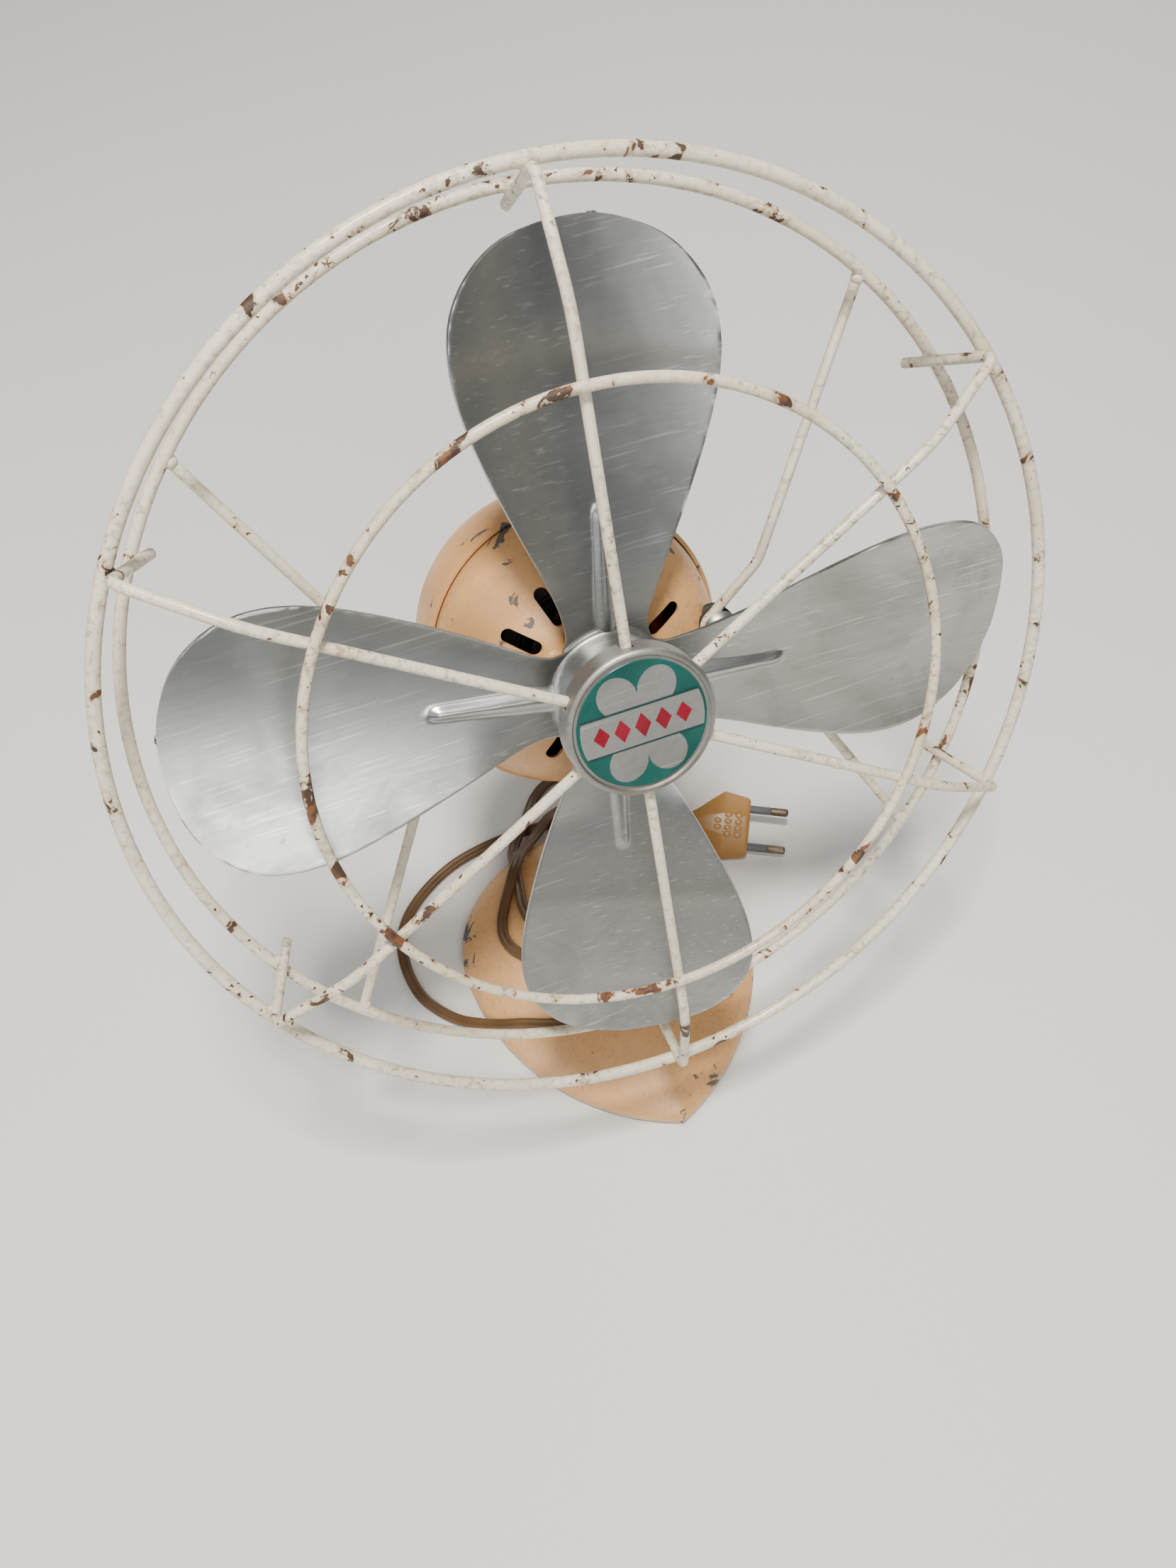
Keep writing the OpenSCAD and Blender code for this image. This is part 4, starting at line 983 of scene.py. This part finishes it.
# ---------------------------------------------------------------- stand details
eased("neck_column", "neck", "base", OCHRE, 0.5 * MM)
eased("lug_under_motor", "motor_lug", "head", OCHRE, 0.4 * MM)
eased("tilt_clamp_knob", "tilt_knob", "knob", KNOB, 0.5 * MM)
eased("tilt_bolt_turned", "tilt_bolt", "base", STEEL, 0.3 * MM)

# ---------------------------------------------------------------- lead and plug
sleeve_z = base_top + 12 * MM
sleeve_x = 13.2 * MM
sleeve_l = 25 * MM
cord_w = 5.2 * MM
cord_t = 2.7 * MM
lead_start = [(0.019, 0, 0), (0.028, 0, 0), (0.034, -0.0015, -0.0025), (0.038, -0.0065, -0.008)]
# over the base and the table: x, y and height above what lies under the lead
lead_lay = [
    (0.050, 0.011, 0.005), (0.048, 0.004, 0.0026), (0.041, 0, 0.0024), (0.032, -0.0015, 0.0024),
    (0.020, -0.001, 0.0024), (0.008, 0, 0.0024), (-0.004, 0.001, 0.0024), (-0.014, 0.0045, 0.0024),
    (-0.022, 0.011, 0.0024), (-0.028, 0.019, 0.0024), (-0.032, 0.029, 0.0024),
            (-0.033, 0.039, 0.0024),
    (-0.0315, 0.048, 0.0024), (-0.030, 0.057, 0.003), (-0.0285, 0.066, 0.0038),
            (-0.0265, 0.074, 0.0086),
    (-0.022, 0.081, 0.007), (-0.016, 0.088, 0.0066), (-0.011, 0.095, 0.004),
            (-0.006, 0.102, 0.0024),
    (0.001, 0.1075, 0.0021), (0.009, 0.110, 0.0021), (0.017, 0.1085, 0.0021),
            (0.022, 0.103, 0.0021),
    (0.021, 0.0965, 0.0021), (0.015, 0.0925, 0.0026), (0.006, 0.0905, 0.0046),
            (-0.003, 0.087, 0.0068),
    (-0.010, 0.0815, 0.0078), (-0.016, 0.0765, 0.0095), (-0.022, 0.070, 0.0054),
            (-0.0265, 0.0635, 0.008),
    (-0.031, 0.057, 0.008), (-0.0355, 0.0505, 0.0052), (-0.040, 0.044, 0.0029),
            (-0.044, 0.0365, 0.0024),
    (-0.046, 0.0285, 0.0024), (-0.044, 0.0205, 0.0024), (-0.038, 0.0125, 0.0024),
            (-0.031, 0.0045, 0.0024),
    (-0.023, -0.0025, 0.0024), (-0.014, -0.008, 0.0024), (-0.003, -0.0105, 0.0024),
            (0.009, -0.0115, 0.0024),
    (0.021, -0.0115, 0.0024), (0.031, -0.0125, 0.0024), (0.0375, -0.018, 0.0024),
            (0.036, -0.0255, 0.0024),
    (0.028, -0.0295, 0.0024), (0.017, -0.0305, 0.0024), (0.005, -0.0295, 0.0025),
            (-0.007, -0.028, 0.0024),
    (-0.019, -0.0255, 0.0024), (-0.031, -0.022, 0.0024), (-0.042, -0.0175, 0.0024),
            (-0.052, -0.0125, 0.003),
    (-0.061, -0.008, 0.0036), (-0.069, -0.0025, 0.0074), (-0.077, 0.004, 0.0034),
            (-0.084, 0.012, 0.0021),
    (-0.0895, 0.021, 0.0021), (-0.092, 0.032, 0.0021), (-0.092, 0.043, 0.0021),
            (-0.0895, 0.0535, 0.0021),
    (-0.084, 0.0625, 0.0021), (-0.076, 0.070, 0.0021), (-0.066, 0.0765, 0.0021),
            (-0.055, 0.0815, 0.0021),
    (-0.043, 0.0845, 0.0021), (-0.031, 0.086, 0.0021), (-0.019, 0.0865, 0.0021),
            (-0.007, 0.086, 0.0021),
    (0.005, 0.0845, 0.0021), (0.016, 0.082, 0.0021), (0.027, 0.0775, 0.0028),
            (0.037, 0.072, 0.0046)]
plug_aim = math.radians(-28)
plug_roll = math.radians(22)
plug_half_w = 17 * MM
plug_edge = 1.3 * MM
pin_side = 9.3 * MM
plug_tail = Vector((0.0545, 0.062, plug_half_w * math.sin(plug_roll) + plug_edge
                    * math.cos(plug_roll)))
plug_dir = Vector((math.cos(plug_aim), math.sin(plug_aim), 0))
PLUG_AT = (Matrix.Translation(plug_tail) @ Matrix.Rotation(plug_aim, 4, "Z")
           @ Matrix.Rotation(plug_roll, 4, "X"))
settle_down = 0.6 * MM
route = [Vector((sleeve_x, neck_y, sleeve_z)) + Vector(p) for p in lead_start]
route += [Vector((x, y, base_height(x, y) + z - settle_down)) for x, y, z in lead_lay]
route += [plug_tail - 9 * MM * plug_dir, plug_tail]
lead_step = 2.2 * MM
lead_line = smooth_route(route, lead_step)
lobe = cord_t / 2
twin = ([(cord_w / 2 - lobe + lobe * math.cos(a), lobe * math.sin(a)) for a in
         [math.radians(-125 + 250 * k / 12) for k in range(13)]]
        + [(-cord_w / 2 + lobe + lobe * math.cos(a), lobe * math.sin(a)) for a in
           [math.radians(55 + 250 * k / 12) for k in range(13)]])
lead_mesh = tube_mesh("twin_lead", lead_line, twin)
lead = settle_mesh("twin_lead", lead_mesh, "base", LEAD, ["cord"], sharp=50)

SLEEVE_AT = Matrix.Translation((sleeve_x, neck_y, sleeve_z)) @ Matrix.Rotation(math.pi / 2, 4, "Y")
sleeve_profile = [(2.2 * MM, 0), (4 * MM, 0), (4 * MM, 4 * MM), (5.2 * MM, 4.1 * MM),
                  (5.4 * MM, 4.4 * MM),
                  (5.4 * MM, 5.9 * MM), (5.1 * MM, 6.2 * MM)]
for k in range(6):
    at, r = (6.6 + 3 * k) * MM, (4.5 - 0.2 * k) * MM
    sleeve_profile += [(r - 0.5 * MM, at), (r, at + 0.3 * MM), (r - 0.1 * MM, at + 2 * MM),
                       (r - 0.6 * MM, at + 2.3 * MM)]
sleeve_profile += [(3.2 * MM, sleeve_l - 0.2 * MM), (3.0 * MM, sleeve_l), (2.3 * MM, sleeve_l),
                   (2.2 * MM, 0)]
sleeve = turned(sleeve_profile, 48)
settle("lead_sleeve", sleeve, "base", RUBBER, ["cord_sleeve"], SLEEVE_AT, sharp=45)

plug_stations = [(0, 4.5, 3.4), (1.2, 5.0, 3.8), (8, 5.6, 4.2), (12, 8.4, 5.1), (17, 12.5, 6.0),
                 (23, 17, 6.0),
                 (34.6, 14.8, 6.0), (36, 13.6, 5.0)]


def plug_ring(half_w, half_t):
    """Eight-sided section of the plug, bevelled down to thin sides."""
    flat = 0.33 * half_w
    side = min(plug_edge, 0.4 * half_t * MM) / MM
    return [(-half_w, -side), (-flat, -half_t), (flat, -half_t), (half_w, -side),
            (half_w, side), (flat, half_t), (-flat, half_t), (-half_w, side)]


plug = bmesh.new()
loops = []
for x, half_w, half_t in plug_stations:
    verts = [plug.verts.new((x * MM, y * MM, z * MM)) for y, z in plug_ring(half_w, half_t)]
    loops.append([plug.edges.new((verts[i], verts[(i + 1) % 8])) for i in range(8)])
for a, b in zip(loops, loops[1:]):
    bmesh.ops.bridge_loops(plug, edges=a + b)
for loop in (loops[0], loops[-1]):
    bmesh.ops.contextual_create(plug, geom=loop)
bmesh.ops.recalc_face_normals(plug, faces=plug.faces)
hard = [e for e in plug.edges if e.calc_face_angle(0) > math.radians(14)]
bmesh.ops.bevel(plug, geom=hard, affect="EDGES", offset=0.7 * MM, segments=3, profile=0.5,
                material=-1,
                clamp_overlap=True)
for x in (20.5, 25.5, 30.5):
    for y in (-6.6, -2.2, 2.2, 6.6):
        if abs(y) < 3 or x > 21:
            for side in (1, -1):
                bmesh.ops.create_icosphere(plug, subdivisions=3, radius=1.0,
                                           matrix=Matrix.Translation(
                    (x * MM, y * 0.72 * MM, side * 5.85 * MM)) @ Matrix.Diagonal((1.9 * MM,
                                                                                  1.5 * MM, 0.55 * MM, 1)))
plug_piece = settle("plug_moulding", plug, "base", PLUG, ["plug_body"], PLUG_AT,
                    sharp=40)
sleeves, tips = bmesh.new(), bmesh.new()
for hand in (1, -1):
    place = (Matrix.Translation((0, hand * pin_side, 0)) @ Matrix.Rotation(math.pi / 2, 4, "Y"))
    cover = turned([(0, 30 * MM), (2 * MM, 30 * MM), (2 * MM, 45.7 * MM), (1.8 * MM, 46 * MM),
                    (0, 46 * MM)], 32)
    tip = turned([(0, 45 * MM), (1.5 * MM, 45 * MM), (1.5 * MM, 46.1 * MM), (1.95 * MM, 46.2 * MM),
                  (2 * MM, 46.4 * MM), (2 * MM, 53.4 * MM)] + arc((0.8 * MM, 53.4 * MM), 1.2 * MM,
                                                                  0, 90, 6)
                 + [(0, 54.6 * MM)], 32)
    for bm, store in ((cover, sleeves), (tip, tips)):
        bmesh.ops.transform(bm, matrix=place, verts=bm.verts)
        joined(store, bm)
sleeve_piece = settle("pin_sleeves", sleeves, "base", SLEEVE, ["plug_sleeves"],
                      PLUG_AT)
tip_piece = settle("pin_tips", tips, "base", PIN_METAL, ["plug_pins"], PLUG_AT)
